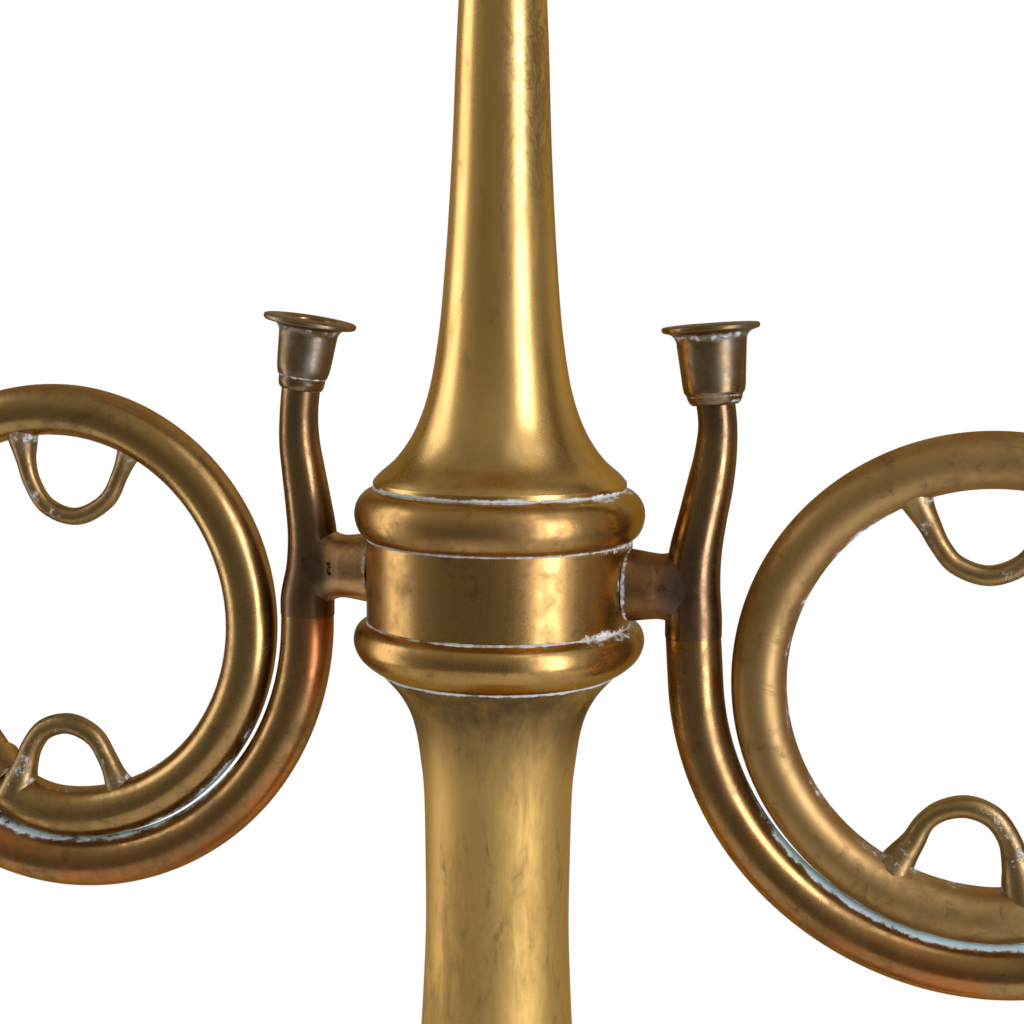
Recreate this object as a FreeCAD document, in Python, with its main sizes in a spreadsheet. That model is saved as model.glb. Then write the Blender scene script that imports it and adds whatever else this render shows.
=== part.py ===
import FreeCAD, Part
import Sketcher
import math
import os

# A brass music stand on a spun foot. Two hunting horns grow from a beaded
# collar on the column, and a pierced desk slides, swivels and tilts on top.
# The origin is on the floor under the column, +Z is up, the horns lie along
# X and the desk faces -Y. Lengths are in millimetres.

V = FreeCAD.Vector
UP = V(0, 0, 1)
TURN = 360

doc = FreeCAD.newDocument("music_stand")
sheet = doc.addObject("Spreadsheet::Sheet", "Sizes")

SIZES = [
    # where the storeys of the column start
    ("band_middle", 760), ("foot_top", 97), ("column_start", 107),
    # floor plate and foot
    ("felt_radius", 142), ("felt_thick", 3),
    ("weight_radius", 118), ("weight_thick", 30), ("weight_bevel", 16),
    ("nut_pocket_radius", 14), ("nut_pocket_depth", 13),
    ("foot_radius", 148), ("foot_lift", 5), ("foot_neck", 58), ("foot_wall", 2), ("foot_hole", 30),
    ("rim_wire", 4), ("spacer_radius", 12),
    ("foot_collar_bore", 40), ("foot_collar_seat", 60), ("foot_collar_thick", 10),
    ("plug_radius", 51.5), ("plug_thick", 8),
    # tie rod and its nuts
    ("tie_rod_radius", 5), ("tie_rod_hole", 5.4), ("tie_rod_base", 5), ("tie_rod_length", 762),
    ("tie_nut_across", 9), ("tie_nut_thick", 8), ("tie_washer_radius", 12), ("tie_washer_thick", 2),
    # lower column
    ("lower_lip", 58), ("lower_top", 42.6), ("lower_height", 621.4), ("column_wall", 1.6),
    # beads, band and hub
    ("bead_bore", 36), ("bead_seat", 46.4),
    ("lower_bead_height", 17.6), ("upper_bead_height", 17.6),
    ("band_radius", 46.8), ("band_bore", 44.6), ("band_height", 29.4), ("band_drop", 14),
    ("hub_pocket", 18), ("hub_floor", 16),
    # upper column, guide tube and ferrule
    ("upper_lip", 44.5), ("upper_lip_edge", 2.4), ("upper_top", 15), ("upper_height", 166.5),
    ("guide_flange", 33), ("guide_flange_thick", 4), ("guide_radius", 11), ("guide_bore", 7.2),
    ("guide_height", 195), ("flange_screw_circle", 24), ("flange_screw_radius", 2),
    ("ferrule_radius", 13.6), ("ferrule_bore", 9.2), ("ferrule_height", 44), ("ferrule_socket", 11),
    ("ferrule_socket_depth", 11), ("ferrule_waist", 12.4), ("ferrule_bead", 16.5),
    ("bush_length", 30), ("clamp_height", 27),
    ("clamp_hole", 3), ("clamp_screw", 2.95), ("clamp_pad_thick", 2),
    # desk rod
    ("rod_radius", 6.35), ("rod_gap", 0.05), ("rod_start", 872), ("rod_length", 213),
    ("spigot_radius", 4.5), ("spigot_length", 20), ("spigot_groove", 3.6),
    # swivel yoke and tilt joint
    ("yoke_radius", 10.5), ("yoke_lift", 0.3), ("yoke_height", 26), ("tongue_thick", 8),
    ("tilt_height", 1132), ("tongue_round", 9), ("tilt_bolt_radius", 3), ("tilt_gap", 0.05),
    ("friction_washer", 8), ("friction_washer_thick", 1), ("ear_gap", 0.3), ("ear_thick", 3),
    ("desk_lean", 22),
    # desk
    ("desk_half_width", 220), ("desk_below", 66), ("desk_side", 150), ("desk_top", 236),
    ("desk_thick", 2), ("desk_set_out", 20), ("bracket_half_width", 30), ("bracket_half_height", 26),
    ("bracket_thick", 3), ("ledge_depth", 34), ("ledge_thick", 2), ("ledge_lip", 15),
    ("ledge_flange", 14), ("page_pivot", 128), ("page_arm", 78), ("page_arm_thick", 1.5),
    # horns: tubes and fittings
    ("coil_radius", 9.525), ("loop_tube", 9.525), ("tube_wall", 1.2), ("loop_radius", 77.2),
    ("coil_reach", 96.5), ("seam_height", -16), ("arm_root", 12.7), ("arm_tip", 11.2),
    ("arm_tail", 5), ("arm_tail_length", 16), ("arm_length", 16),
    ("throat_bend", 50), ("throat_turn", 40), ("throat_lean", 35),
    ("sleeve_radius", 11.4), ("sleeve_length", 15),
    ("bell_length", 148), ("bell_mouth", 54), ("bell_flare", 16), ("bell_wire", 1.8),
    ("cup_rim", 17), ("cup_rim_edge", 2.9), ("cup_length", 25.5), ("cup_bore", 2.6), ("cup_bowl", 8.6),
    ("ring_bar", 3.2), ("brace_radius", 2.6),
]
for row, (name, value) in enumerate(SIZES, start=1):
    sheet.set(f"A{row}", name)
    sheet.set(f"B{row}", str(value))
    sheet.setAlias(f"B{row}", name)
doc.recompute()

nodes = {}


def measure(text):
    """The value of a cell, a number, or a sum and difference of them in words."""
    total, sign = 0.0, 1
    for word in str(text).split():
        if word in ("+", "-"):
            sign = 1 if word == "+" else -1
            continue
        is_number = word.lstrip("-")[0].isdigit()
        total += sign * float(word if is_number else sheet.get(word))
        sign = 1
    return total


def formula(text):
    """The same sum as an expression on the sheet."""
    words = str(text).split()
    return " ".join(word if word in ("+", "-") or word.lstrip("-")[0].isdigit()
                    else f"Sizes.{word}" for word in words)


def bind(thing, **sizes):
    """Bind each named property to its sum of cells."""
    for prop, text in sizes.items():
        thing.setExpression(prop, formula(text))


def rotation(axis, degrees):
    return FreeCAD.Rotation(axis, degrees)


def keep(label, thing, x=0, y=0, z=0, turn=None):
    """Name a finished sub-part and put it in its place."""
    thing.Label = label
    base = V(measure(x), measure(y), measure(z))
    thing.Placement = FreeCAD.Placement(base, turn or FreeCAD.Rotation())
    for axis, text in (("x", x), ("y", y), ("z", z)):
        if isinstance(text, str):
            thing.setExpression(f"Placement.Base.{axis}", formula(text))
    nodes[label] = thing
    return thing


def keep_shape(label, shape):
    """A sub-part whose solid is worked out here, in the stand's own frame."""
    feature = doc.addObject("Part::Feature", label)
    feature.Shape = shape
    return keep(label, feature)


# Outlines. A corner is (across, up); a third entry says how its edge arrives:
# a list of points is a curve through them, a number is an arc's radius, and
# the arc bulges to the right of the walk if it is positive.

def edge_between(start, corner):
    end = V(measure(corner[0]), measure(corner[1]), 0)
    if len(corner) == 2:
        return Part.LineSegment(start, end), end
    if isinstance(corner[2], list):
        curve = Part.BSplineCurve()
        curve.interpolate([start] + [V(a, b, 0) for a, b in corner[2]] + [end])
        return curve, end
    half = (end - start) * 0.5
    bulge = math.copysign(1, corner[2])
    rise = math.sqrt(max(corner[2] ** 2 - half.Length ** 2, 0))
    right = V(half.y, -half.x, 0).normalize()
    centre = start + half - right * rise * bulge
    ends = [math.atan2(point.y - centre.y, point.x - centre.x) for point in (start, end)]
    if bulge < 0:
        ends.reverse()
    return Part.ArcOfCircle(Part.Circle(centre, UP, abs(corner[2])), ends[0], ends[1]), end


def draw(sketch, corners):
    """Draw a closed outline, join its edges and pin each corner to the sheet."""
    start = V(measure(corners[-1][0]), measure(corners[-1][1]), 0)
    drawn = []
    for corner in corners:
        wanted = start
        edge, start = edge_between(start, corner)
        index = sketch.addGeometry(edge, False)
        placed = sketch.Geometry[index]
        forward = placed.StartPoint.distanceToPoint(wanted) < placed.EndPoint.distanceToPoint(wanted)
        drawn.append((index, 1 if forward else 2, 2 if forward else 1, corner))
    for number, (index, first, last, corner) in enumerate(drawn):
        follower, follower_first = drawn[(number + 1) % len(drawn)][:2]
        sketch.addConstraint(Sketcher.Constraint("Coincident", index, last, follower, follower_first))
        for kind, axis, text in (("DistanceX", -2, corner[0]), ("DistanceY", -1, corner[1])):
            value = measure(text)
            if abs(value) < 1e-9:
                sketch.addConstraint(Sketcher.Constraint("PointOnObject", index, last, axis))
                continue
            ends = (-1, 1, index, last) if value > 0 else (index, last, -1, 1)
            pin = sketch.addConstraint(Sketcher.Constraint(kind, *ends, abs(value)))
            if isinstance(text, str):
                expression = formula(text) if value > 0 else f"-({formula(text)})"
                sketch.setExpression(f"Constraints[{pin}]", expression)


def new_sketch(body, name, role):
    sketch = body.newObject("Sketcher::SketchObject", name)
    plane = [p for p in body.Origin.OriginFeatures if p.Role == role][0]
    sketch.AttachmentSupport = [(plane, "")]
    sketch.MapMode = "FlatFace"
    return sketch


def turned(label, corners, x=0, y=0, z=0, turn=None):
    """A piece turned on the lathe: a half outline spun about its own Z axis."""
    body = doc.addObject("PartDesign::Body", label)
    sketch = new_sketch(body, label + "_outline", "XZ_Plane")
    draw(sketch, corners)
    spin = body.newObject("PartDesign::Revolution", label + "_spin")
    spin.Profile = sketch
    spin.ReferenceAxis = (sketch, ["V_Axis"])
    spin.Angle = TURN
    return keep(label, body, x, y, z, turn)


def inset(points, wall):
    """The same run of points moved inwards by the wall, square to the run."""
    moved = []
    for number, point in enumerate(points):
        before = points[max(number - 1, 0)]
        after = points[min(number + 1, len(points) - 1)]
        across, up = after[0] - before[0], after[1] - before[1]
        run = math.hypot(across, up)
        moved.append((point[0] - wall * up / run, point[1] + wall * across / run))
    return moved


def spun_shell(label, foot, through, top, wall, z):
    """A spun tube: the outside climbs from foot to top through the points."""
    ends = [(measure(foot[0]), measure(foot[1]))], [(measure(top[0]), measure(top[1]))]
    inner = inset(ends[0] + through + ends[1], measure(wall))[1:-1]
    corners = [
        foot,
        (top[0], top[1], through),
        (f"{top[0]} - {wall}", top[1]),
        (f"{foot[0]} - {wall}", foot[1], inner[::-1]),
    ]
    return turned(label, corners, z=z)


def pipe(label, outer, inner, length, x=0, y=0, z=0, turn=None):
    """A plain tube or washer, cut from two cylinders."""
    shell = doc.addObject("Part::Cylinder", label + "_outside")
    bore = doc.addObject("Part::Cylinder", label + "_bore")
    bind(shell, Radius=outer, Height=length)
    bind(bore, Radius=inner, Height=length)
    cut = doc.addObject("Part::Cut", label)
    cut.Base, cut.Tool = shell, bore
    return keep(label, cut, x, y, z, turn)


def group(label, parts):
    """Like fasteners kept in one node as separate solids."""
    compound = doc.addObject("Part::Compound", label)
    compound.Links = parts
    return keep(label, compound)


# Base: felt, cast weight, spun foot with its wired rim, spacer and collar ring.

felt = doc.addObject("Part::Cylinder", "base_felt")
bind(felt, Radius="felt_radius", Height="felt_thick")
keep("base_felt", felt)

turned("base_weight", [
    ("nut_pocket_radius", 0), ("weight_radius", 0), ("weight_radius", "weight_thick - weight_bevel"),
    ("weight_radius - weight_bevel", "weight_thick"), ("tie_rod_hole", "weight_thick"),
    ("tie_rod_hole", "nut_pocket_depth"), ("nut_pocket_radius", "nut_pocket_depth"),
], z="felt_thick")

foot_side = [(146, 15), (128, 26), (98, 39), (76, 58), (64, 78)]
foot_inner = inset([(148, 8.7)] + foot_side + [(58, 97)], measure("foot_wall"))[1:-1]
turned("foot_shell", [
    ("foot_radius", "foot_lift + rim_wire - 0.3"), ("foot_neck", "foot_top", foot_side), ("foot_hole", "foot_top"),
    ("foot_hole", "foot_top - foot_wall"), ("foot_neck - foot_wall", "foot_top - foot_wall"),
    ("foot_radius - foot_wall", "foot_lift + rim_wire - 0.3", foot_inner[::-1]),
])

rim_wire = doc.addObject("Part::Torus", "foot_rim_wire")
bind(rim_wire, Radius1="foot_radius - 1", Radius2="rim_wire")
keep("foot_rim_wire", rim_wire, z="foot_lift")

pipe("base_spacer", "spacer_radius", "tie_rod_hole", "foot_top - foot_wall - weight_thick - felt_thick",
     z="weight_thick + felt_thick")

turned("foot_collar", [
    ("foot_collar_bore", 0), ("foot_collar_seat", 0),
    ("foot_collar_seat", "foot_collar_thick", [(64.5, 1.8), (66, 5), (64.5, 8.2)]),
    ("foot_collar_bore", "foot_collar_thick"),
], z="foot_top")

pipe("column_plug", "plug_radius", "tie_rod_hole", "plug_thick", z="column_start")

# Lower column: a tall trumpet standing on the foot, opening again under the collar.

lower_side = [(51, 16), (44, 35), (39.6, 69), (35.6, 147), (32.2, 277), (29.3, 407), (27.9, 480), (26.8, 502),
              (25.9, 525), (26.0, 551), (26.7, 579), (27.7, 588), (29.4, 599), (31.7, 606.5), (35.9, 613.8)]
spun_shell("lower_column", ("lower_lip", 0), lower_side, ("lower_top", "lower_height"), "column_wall", "column_start")

# Collar: two cast beads with a plain band between them, filled by the hub.

turned("lower_bead", [
    ("bead_bore", 0), ("lower_top", 0),
    ("bead_seat", "lower_bead_height", [(45.6, 1.8), (49.6, 5.6), (51.4, 10.6), (50.2, 15.2)]),
    ("bead_bore", "lower_bead_height"),
], z="band_middle - band_drop - lower_bead_height")
pipe("collar_band", "band_radius", "band_bore", "band_height", z="band_middle - band_drop")
turned("upper_bead", [
    ("bead_bore", 0), ("bead_seat", 0),
    ("44", "upper_bead_height", [(49.3, 2.6), (51.0, 8), (50.2, 12.6), (47.6, 16)]),
    ("bead_bore", "upper_bead_height"),
], z="band_middle - band_drop + band_height")

turned("hub_block", [
    ("tie_rod_hole", 0), ("band_bore - 0.6", 0), ("band_bore - 0.05", "1"),
    ("band_bore - 0.05", "band_height"), ("hub_pocket", "band_height"), ("hub_pocket", "hub_floor"),
    ("tie_rod_hole", "hub_floor"),
], z="band_middle - band_drop")

# Tie rod, nuts and washers that pull foot, column and hub together.

rod = doc.addObject("Part::Cylinder", "tie_rod")
bind(rod, Radius="tie_rod_radius", Height="tie_rod_length")
keep("tie_rod", rod, z="tie_rod_base")


def hex_nut(name, z):
    blank = doc.addObject("Part::Prism", name + "_blank")
    blank.Polygon = 6
    bind(blank, Circumradius="tie_nut_across", Height="tie_nut_thick")
    hole = doc.addObject("Part::Cylinder", name + "_thread")
    bind(hole, Radius="tie_rod_radius", Height="tie_nut_thick")
    nut = doc.addObject("Part::Cut", name)
    nut.Base, nut.Tool = blank, hole
    nut.setExpression("Placement.Base.z", formula(z))
    return nut


def washer(name, z):
    ring = pipe(name, "tie_washer_radius", "tie_rod_hole", "tie_washer_thick", z=z)
    del nodes[name]
    return ring


lower_washer_seat = "felt_thick + nut_pocket_depth - tie_washer_thick"
upper_washer_seat = "band_middle - band_drop + hub_floor"
group("tie_rod_washers", [washer("lower_washer", lower_washer_seat),
                          washer("upper_washer", upper_washer_seat)])
group("tie_rod_nuts", [hex_nut("lower_nut", lower_washer_seat + " - tie_nut_thick"),
                       hex_nut("upper_nut", upper_washer_seat + " + tie_washer_thick")])

# Upper column with the guide tube inside and the clamp ferrule on top.

upper_side = [(42.6, 4.6), (36.4, 10.2), (30.4, 19), (25.6, 31.4), (21.9, 51), (19.3, 79), (17.2, 114),
              (15.8, 150)]
upper_edge = measure("upper_lip_edge")
upper_ends = [(measure("upper_lip"), upper_edge)], [(measure("upper_top"), measure("upper_height"))]
upper_inner = inset(upper_ends[0] + upper_side + upper_ends[1], measure("column_wall"))[1:-1]
turned("upper_column", [
    ("upper_lip", 0), ("upper_lip", "upper_lip_edge"), ("upper_top", "upper_height", upper_side),
    ("upper_top - column_wall", "upper_height"),
    ("upper_lip - column_wall - 0.6", 0, upper_inner[::-1]),
], z="band_middle - band_drop + band_height + upper_bead_height")

turned("guide_tube", [
    ("guide_bore", 0), ("guide_flange", 0), ("guide_flange", "guide_flange_thick"),
    ("guide_radius", "guide_flange_thick"), ("guide_radius", "guide_height"), ("guide_bore", "guide_height"),
], z="band_middle - band_drop + band_height")

screws = []
for number in range(3):
    angle = math.radians(90 + number * TURN / 3)
    screw = doc.addObject("Part::Cylinder", f"flange_screw_{number + 1}")
    bind(screw, Radius="flange_screw_radius + 1.5", Height="flange_screw_radius")
    screw.Placement.Base = V(measure("flange_screw_circle") * math.cos(angle),
                             measure("flange_screw_circle") * math.sin(angle), 0)
    screw.setExpression("Placement.Base.z",
                        formula("band_middle - band_drop + band_height + guide_flange_thick"))
    screws.append(screw)
group("flange_screws", screws)

FERRULE_BASE = "band_middle - band_drop + band_height + upper_bead_height + upper_height"
ferrule_blank = turned("ferrule_blank", [
    ("ferrule_socket", 0), ("ferrule_radius", 0), ("ferrule_radius", 4),
    ("ferrule_waist", 14, [(16.3, 6.6), (15.6, 10.4)]), ("ferrule_waist", "ferrule_height - 10"),
    ("ferrule_waist", "ferrule_height - 1", [(15.0, 37.2), (15.2, 40.8)]),
    ("ferrule_bore", "ferrule_height"), ("ferrule_bore", "ferrule_socket_depth"),
    ("ferrule_socket", "ferrule_socket_depth"),
])
del nodes["ferrule_blank"]
clamp_hole = doc.addObject("Part::Cylinder", "ferrule_clamp_hole")
bind(clamp_hole, Radius="clamp_hole", Height="ferrule_bead + 4")
clamp_hole.Placement = FreeCAD.Placement(V(0, 0, measure("clamp_height")), rotation(V(0, 1, 0), 90))
clamp_hole.setExpression("Placement.Base.z", formula("clamp_height"))
clamp_boss = doc.addObject("Part::Cylinder", "ferrule_boss")
bind(clamp_boss, Radius="clamp_hole + 3", Height="8")
clamp_boss.Placement = FreeCAD.Placement(V(10.5, 0, measure("clamp_height")), rotation(V(0, 1, 0), 90))
clamp_boss.setExpression("Placement.Base.z", formula("clamp_height"))
ferrule_solid = doc.addObject("Part::Fuse", "ferrule_with_boss")
ferrule_solid.Base, ferrule_solid.Tool = ferrule_blank, clamp_boss
ferrule = doc.addObject("Part::Cut", "top_ferrule")
ferrule.Base, ferrule.Tool = ferrule_solid, clamp_hole
keep("top_ferrule", ferrule, z=FERRULE_BASE)

bush_tube = pipe("bush_tube", "ferrule_bore", "rod_radius + rod_gap", "bush_length")
del nodes["bush_tube"]
bush_hole = doc.addObject("Part::Cylinder", "bush_clamp_hole")
bind(bush_hole, Radius="clamp_hole", Height="ferrule_bead")
bush_hole.Placement = FreeCAD.Placement(V(0, 0, 0), rotation(V(0, 1, 0), 90))
bush_hole.setExpression("Placement.Base.z", formula("clamp_height - ferrule_socket_depth"))
bush = doc.addObject("Part::Cut", "rod_bush")
bush.Base, bush.Tool = bush_tube, bush_hole
keep("rod_bush", bush, z=FERRULE_BASE + " + ferrule_socket_depth")

pad = doc.addObject("Part::Cylinder", "clamp_pad")
bind(pad, Radius="clamp_hole", Height="clamp_pad_thick")
keep("clamp_pad", pad, x="rod_radius + 0.3", z=FERRULE_BASE + " + clamp_height",
     turn=rotation(V(0, 1, 0), 90))

# Thumbscrew on the side of the ferrule: a threaded shank with a flat thumb paddle.

thumb_shank = turned("thumb_shank", [
    (0, 0), ("clamp_screw", 0), ("clamp_screw", 10.5), ("4.6", 11.5), ("4.6", 14.5), ("3", 17.5), (0, 17.5),
])
del nodes["thumb_shank"]
paddle = doc.addObject("Part::Cylinder", "thumb_paddle")
paddle.Radius, paddle.Height = 9, 3
paddle.Placement = FreeCAD.Placement(V(0, 1.5, 23.5), rotation(V(1, 0, 0), 90))
thumbscrew = doc.addObject("Part::Fuse", "height_thumbscrew")
thumbscrew.Base, thumbscrew.Tool = thumb_shank, paddle
keep("height_thumbscrew", thumbscrew, x="rod_radius + 0.6 + clamp_pad_thick",
     z=FERRULE_BASE + " + clamp_height", turn=rotation(V(0, 1, 0), 90))

# Desk rod with its spigot, and the swivel yoke that turns on the spigot.

turned("desk_rod", [
    (0, 0), ("rod_radius - 1", 0), ("rod_radius", 1), ("rod_radius", "rod_length"),
    ("spigot_radius", "rod_length"), ("spigot_radius", "rod_length + 8"), ("spigot_groove", "rod_length + 8"),
    ("spigot_groove", "rod_length + 12"), ("spigot_radius", "rod_length + 12"),
    ("spigot_radius", "rod_length + spigot_length"), (0, "rod_length + spigot_length"),
], z="rod_start")

yoke_socket = turned("yoke_socket", [
    ("spigot_radius + rod_gap", 0), ("yoke_radius - 1.5", 0), ("yoke_radius", 1.5),
    ("yoke_radius", "yoke_height - 3"), ("yoke_radius - 3", "yoke_height"), (0, "yoke_height"),
    (0, "spigot_length + 1"), ("spigot_radius + rod_gap", "spigot_length + 1"),
])
del nodes["yoke_socket"]
YOKE_BASE = "rod_start + rod_length + yoke_lift"
yoke_rise = measure("tilt_height") - measure(YOKE_BASE)
tongue = doc.addObject("Part::Box", "yoke_tongue")
bind(tongue, Length="tongue_thick", Width="tongue_round + tongue_round",
     Height="tilt_height - rod_start - rod_length - yoke_lift - spigot_length - 2")
tongue.Placement.Base = V(-measure("tongue_thick") / 2, -measure("tongue_round"), measure("spigot_length") + 2)
tongue_end = doc.addObject("Part::Cylinder", "yoke_tongue_end")
bind(tongue_end, Radius="tongue_round", Height="tongue_thick")
tongue_end.Placement = FreeCAD.Placement(V(-measure("tongue_thick") / 2, 0, yoke_rise), rotation(V(0, 1, 0), 90))
tilt_hole = doc.addObject("Part::Cylinder", "yoke_tilt_hole")
bind(tilt_hole, Radius="tilt_bolt_radius + tilt_gap", Height="tongue_thick + 4")
tilt_hole.Placement = FreeCAD.Placement(V(-measure("tongue_thick") / 2 - 2, 0, yoke_rise), rotation(V(0, 1, 0), 90))
swivel_hole = doc.addObject("Part::Cylinder", "yoke_screw_hole")
swivel_hole.Radius, swivel_hole.Height = 1.5, 12
swivel_hole.Placement = FreeCAD.Placement(V(0, 0, 9.7), rotation(V(1, 0, 0), -90))
yoke_solid = doc.addObject("Part::MultiFuse", "yoke_solid")
yoke_solid.Shapes = [yoke_socket, tongue, tongue_end]
yoke_holes = doc.addObject("Part::MultiFuse", "yoke_holes")
yoke_holes.Shapes = [tilt_hole, swivel_hole]
yoke = doc.addObject("Part::Cut", "swivel_yoke")
yoke.Base, yoke.Tool = yoke_solid, yoke_holes
keep("swivel_yoke", yoke, z=YOKE_BASE)

turned("swivel_screw", [
    (0, 0), (1.5, 0), (1.5, 6.8), (3.2, 6.8), (3.2, 8), (2.2, 9), (0, 9),
], y=3.9, z=measure(YOKE_BASE) + 9.7, turn=rotation(V(1, 0, 0), -90))

# Tilt joint: bolt, fibre washers and wing nut through the bracket's two ears.
# The desk's own pieces are drawn upright about the bolt, then leaned back.

LEAN = rotation(V(1, 0, 0), -measure("desk_lean"))


def keep_on_desk(label, thing, forward=0.0):
    """Hang a desk piece on the tilt bolt, leaned back with the desk."""
    offset = LEAN.multVec(V(0, -forward, 0))
    height = "tilt_height" if forward == 0 else measure("tilt_height") + offset.z
    return keep(label, thing, y=offset.y, z=height, turn=LEAN)


def desk_solid(label, shape):
    feature = doc.addObject("Part::Feature", label)
    feature.Shape = shape
    return keep_on_desk(label, feature)


def bar_along_x(x_start, length, radius, y=0, z=0):
    return Part.makeCylinder(radius, length, V(x_start, y, z), V(1, 0, 0))


half_tongue = measure("tongue_thick") / 2
washer_out = half_tongue + measure("friction_washer_thick")
ear_in = washer_out + measure("ear_gap")
ear_out = ear_in + measure("ear_thick")
bolt = measure("tilt_bolt_radius")

tilt_washers = []
for side in (-1, 1):
    start = half_tongue if side > 0 else -washer_out
    disc = bar_along_x(start, measure("friction_washer_thick"), measure("friction_washer"))
    tilt_washers.append(disc.cut(bar_along_x(start - 1, 4, bolt + measure("tilt_gap"))))
feature = doc.addObject("Part::Feature", "tilt_washers")
feature.Shape = Part.makeCompound(tilt_washers)
keep("tilt_washers", feature, z="tilt_height")

head = bar_along_x(-ear_out - 3.5, 3.5, 6.5)
head = head.makeFillet(1.5, [edge for edge in head.Edges if edge.CenterOfMass.x < -ear_out - 3])
desk_solid("tilt_bolt", head.fuse(bar_along_x(-ear_out, 2 * ear_out + 13, bolt)).removeSplitter())

wing_hub = Part.makeCone(6.5, 4.8, 8, V(ear_out + 0.3, 0, 0), V(1, 0, 0))
wing = Part.makeBox(8, 2.4, 30, V(ear_out + 2, -1.2, -15))
wing = wing.common(Part.makeCylinder(15, 3, V(ear_out + 4, 1.5, 0), V(0, -1, 0)).fuse(
    Part.makeCylinder(4.6, 3, V(ear_out + 7, 1.5, 10), V(0, -1, 0))))
wing_nut = wing_hub.fuse(wing).cut(bar_along_x(ear_out - 1, 14, bolt + 0.05)).removeSplitter()
desk_solid("tilt_wing_nut", wing_nut)

# Bracket: a plate riveted to the back of the desk, with two ears for the bolt.

set_out = measure("desk_set_out")
bracket_thick = measure("bracket_thick")
ear_width = 2 * measure("tongue_round")
bracket = Part.makeBox(2 * measure("bracket_half_width"), bracket_thick, 2 * measure("bracket_half_height"),
                       V(-measure("bracket_half_width"), -set_out, -measure("bracket_half_height")))
for start in (-ear_out, ear_in):
    ear = Part.makeBox(measure("ear_thick"), set_out - 1, ear_width, V(start, -set_out + 1, -ear_width / 2))
    bracket = bracket.fuse(ear).fuse(bar_along_x(start, measure("ear_thick"), ear_width / 2))
bracket = bracket.cut(bar_along_x(-ear_out - 1, 2 * ear_out + 2, bolt))
desk_solid("tilt_bracket", bracket.removeSplitter())

# Desk: pierced sheet brass with an arched top, its ledge, rivets and page holders.

FOOT_ROUND = 10
SHOULDER = (128, 192)
SCROLL, CREST = 86, 170
desk = doc.addObject("PartDesign::Body", "desk_plate")
sheet_outline = new_sketch(desk, "desk_outline", "XZ_Plane")
draw(sheet_outline, [
    (f"desk_half_width - {FOOT_ROUND}", "0 - desk_below"),
    ("desk_half_width", f"{FOOT_ROUND} - desk_below", FOOT_ROUND), ("desk_half_width", "desk_side"),
    (*SHOULDER, -SCROLL), (0, "desk_top", CREST), (-SHOULDER[0], SHOULDER[1], CREST),
    ("0 - desk_half_width", "desk_side", -SCROLL), ("0 - desk_half_width", f"{FOOT_ROUND} - desk_below"),
    (f"{FOOT_ROUND} - desk_half_width", "0 - desk_below", FOOT_ROUND),
])
blank = desk.newObject("PartDesign::Pad", "desk_blank")
blank.Profile = sheet_outline
blank.Reversed = False
bind(blank, Length="desk_thick")

windows = new_sketch(desk, "desk_windows", "XZ_Plane")
for side in (-1, 1):
    harp_top = [(side * 168, 146), (side * 128, 162)]
    harp_arm = [(side * 101, 92), (side * 68, 30)]
    draw(windows, [(side * 196, -36), (side * 196, 128), (side * 92, 152, harp_top), (side * 76, -36, harp_arm)])
for number in range(5):
    middle = (number - 2) * 15.0
    top = 172 - 7 * abs(number - 2)
    draw(windows, [(middle + 4, 40, 4), (middle + 4, top), (middle - 4, top, 4), (middle - 4, 40)])
cut = desk.newObject("PartDesign::Pocket", "desk_piercing")
cut.Profile = windows
cut.Type = "ThroughAll"
cut.Midplane = True
keep_on_desk("desk_plate", desk, forward=set_out)

ledge = doc.addObject("PartDesign::Body", "desk_ledge")
ledge_side = new_sketch(ledge, "ledge_section", "YZ_Plane")
plate_face = -set_out - measure("desk_thick")
ledge_floor = -measure("desk_below")
ledge_front = plate_face - measure("ledge_depth")
gauge = measure("ledge_thick")
draw(ledge_side, [
    (plate_face, ledge_floor + measure("ledge_flange")), (plate_face - gauge, ledge_floor + measure("ledge_flange")),
    (plate_face - gauge, ledge_floor + gauge), (ledge_front + gauge, ledge_floor + gauge),
    (ledge_front + gauge, ledge_floor + measure("ledge_lip")), (ledge_front, ledge_floor + measure("ledge_lip")),
    (ledge_front, ledge_floor), (plate_face, ledge_floor),
])
ledge_bar = ledge.newObject("PartDesign::Pad", "ledge_bar")
ledge_bar.Profile = ledge_side
ledge_bar.Midplane = True
bind(ledge_bar, Length="desk_half_width + desk_half_width - 20")
keep_on_desk("desk_ledge", ledge)


def rivet(x, y, z, length, size=2.0):
    """A domed rivet through the sheets, its head on the -Y side."""
    shank = Part.makeCylinder(size, length, V(x, y, z), V(0, 1, 0))
    dome = Part.makeSphere(size * 2.1, V(x, y + size * 0.9, z)).common(
        Part.makeCylinder(size * 2, size * 1.2, V(x, y, z), V(0, -1, 0)))
    return shank.fuse(dome).removeSplitter()


ledge_rivets = [rivet(x, plate_face - gauge, ledge_floor + 8, gauge + measure("desk_thick") + 0.6)
                for x in (-190, -114, -38, 38, 114, 190)]
desk_solid("ledge_rivets", Part.makeCompound(ledge_rivets))
bracket_rivets = [rivet(x, plate_face, z, measure("desk_thick") + bracket_thick + 0.6)
                  for x in (-22, 22) for z in (-20, 20)]
desk_solid("bracket_rivets", Part.makeCompound(bracket_rivets))

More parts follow.
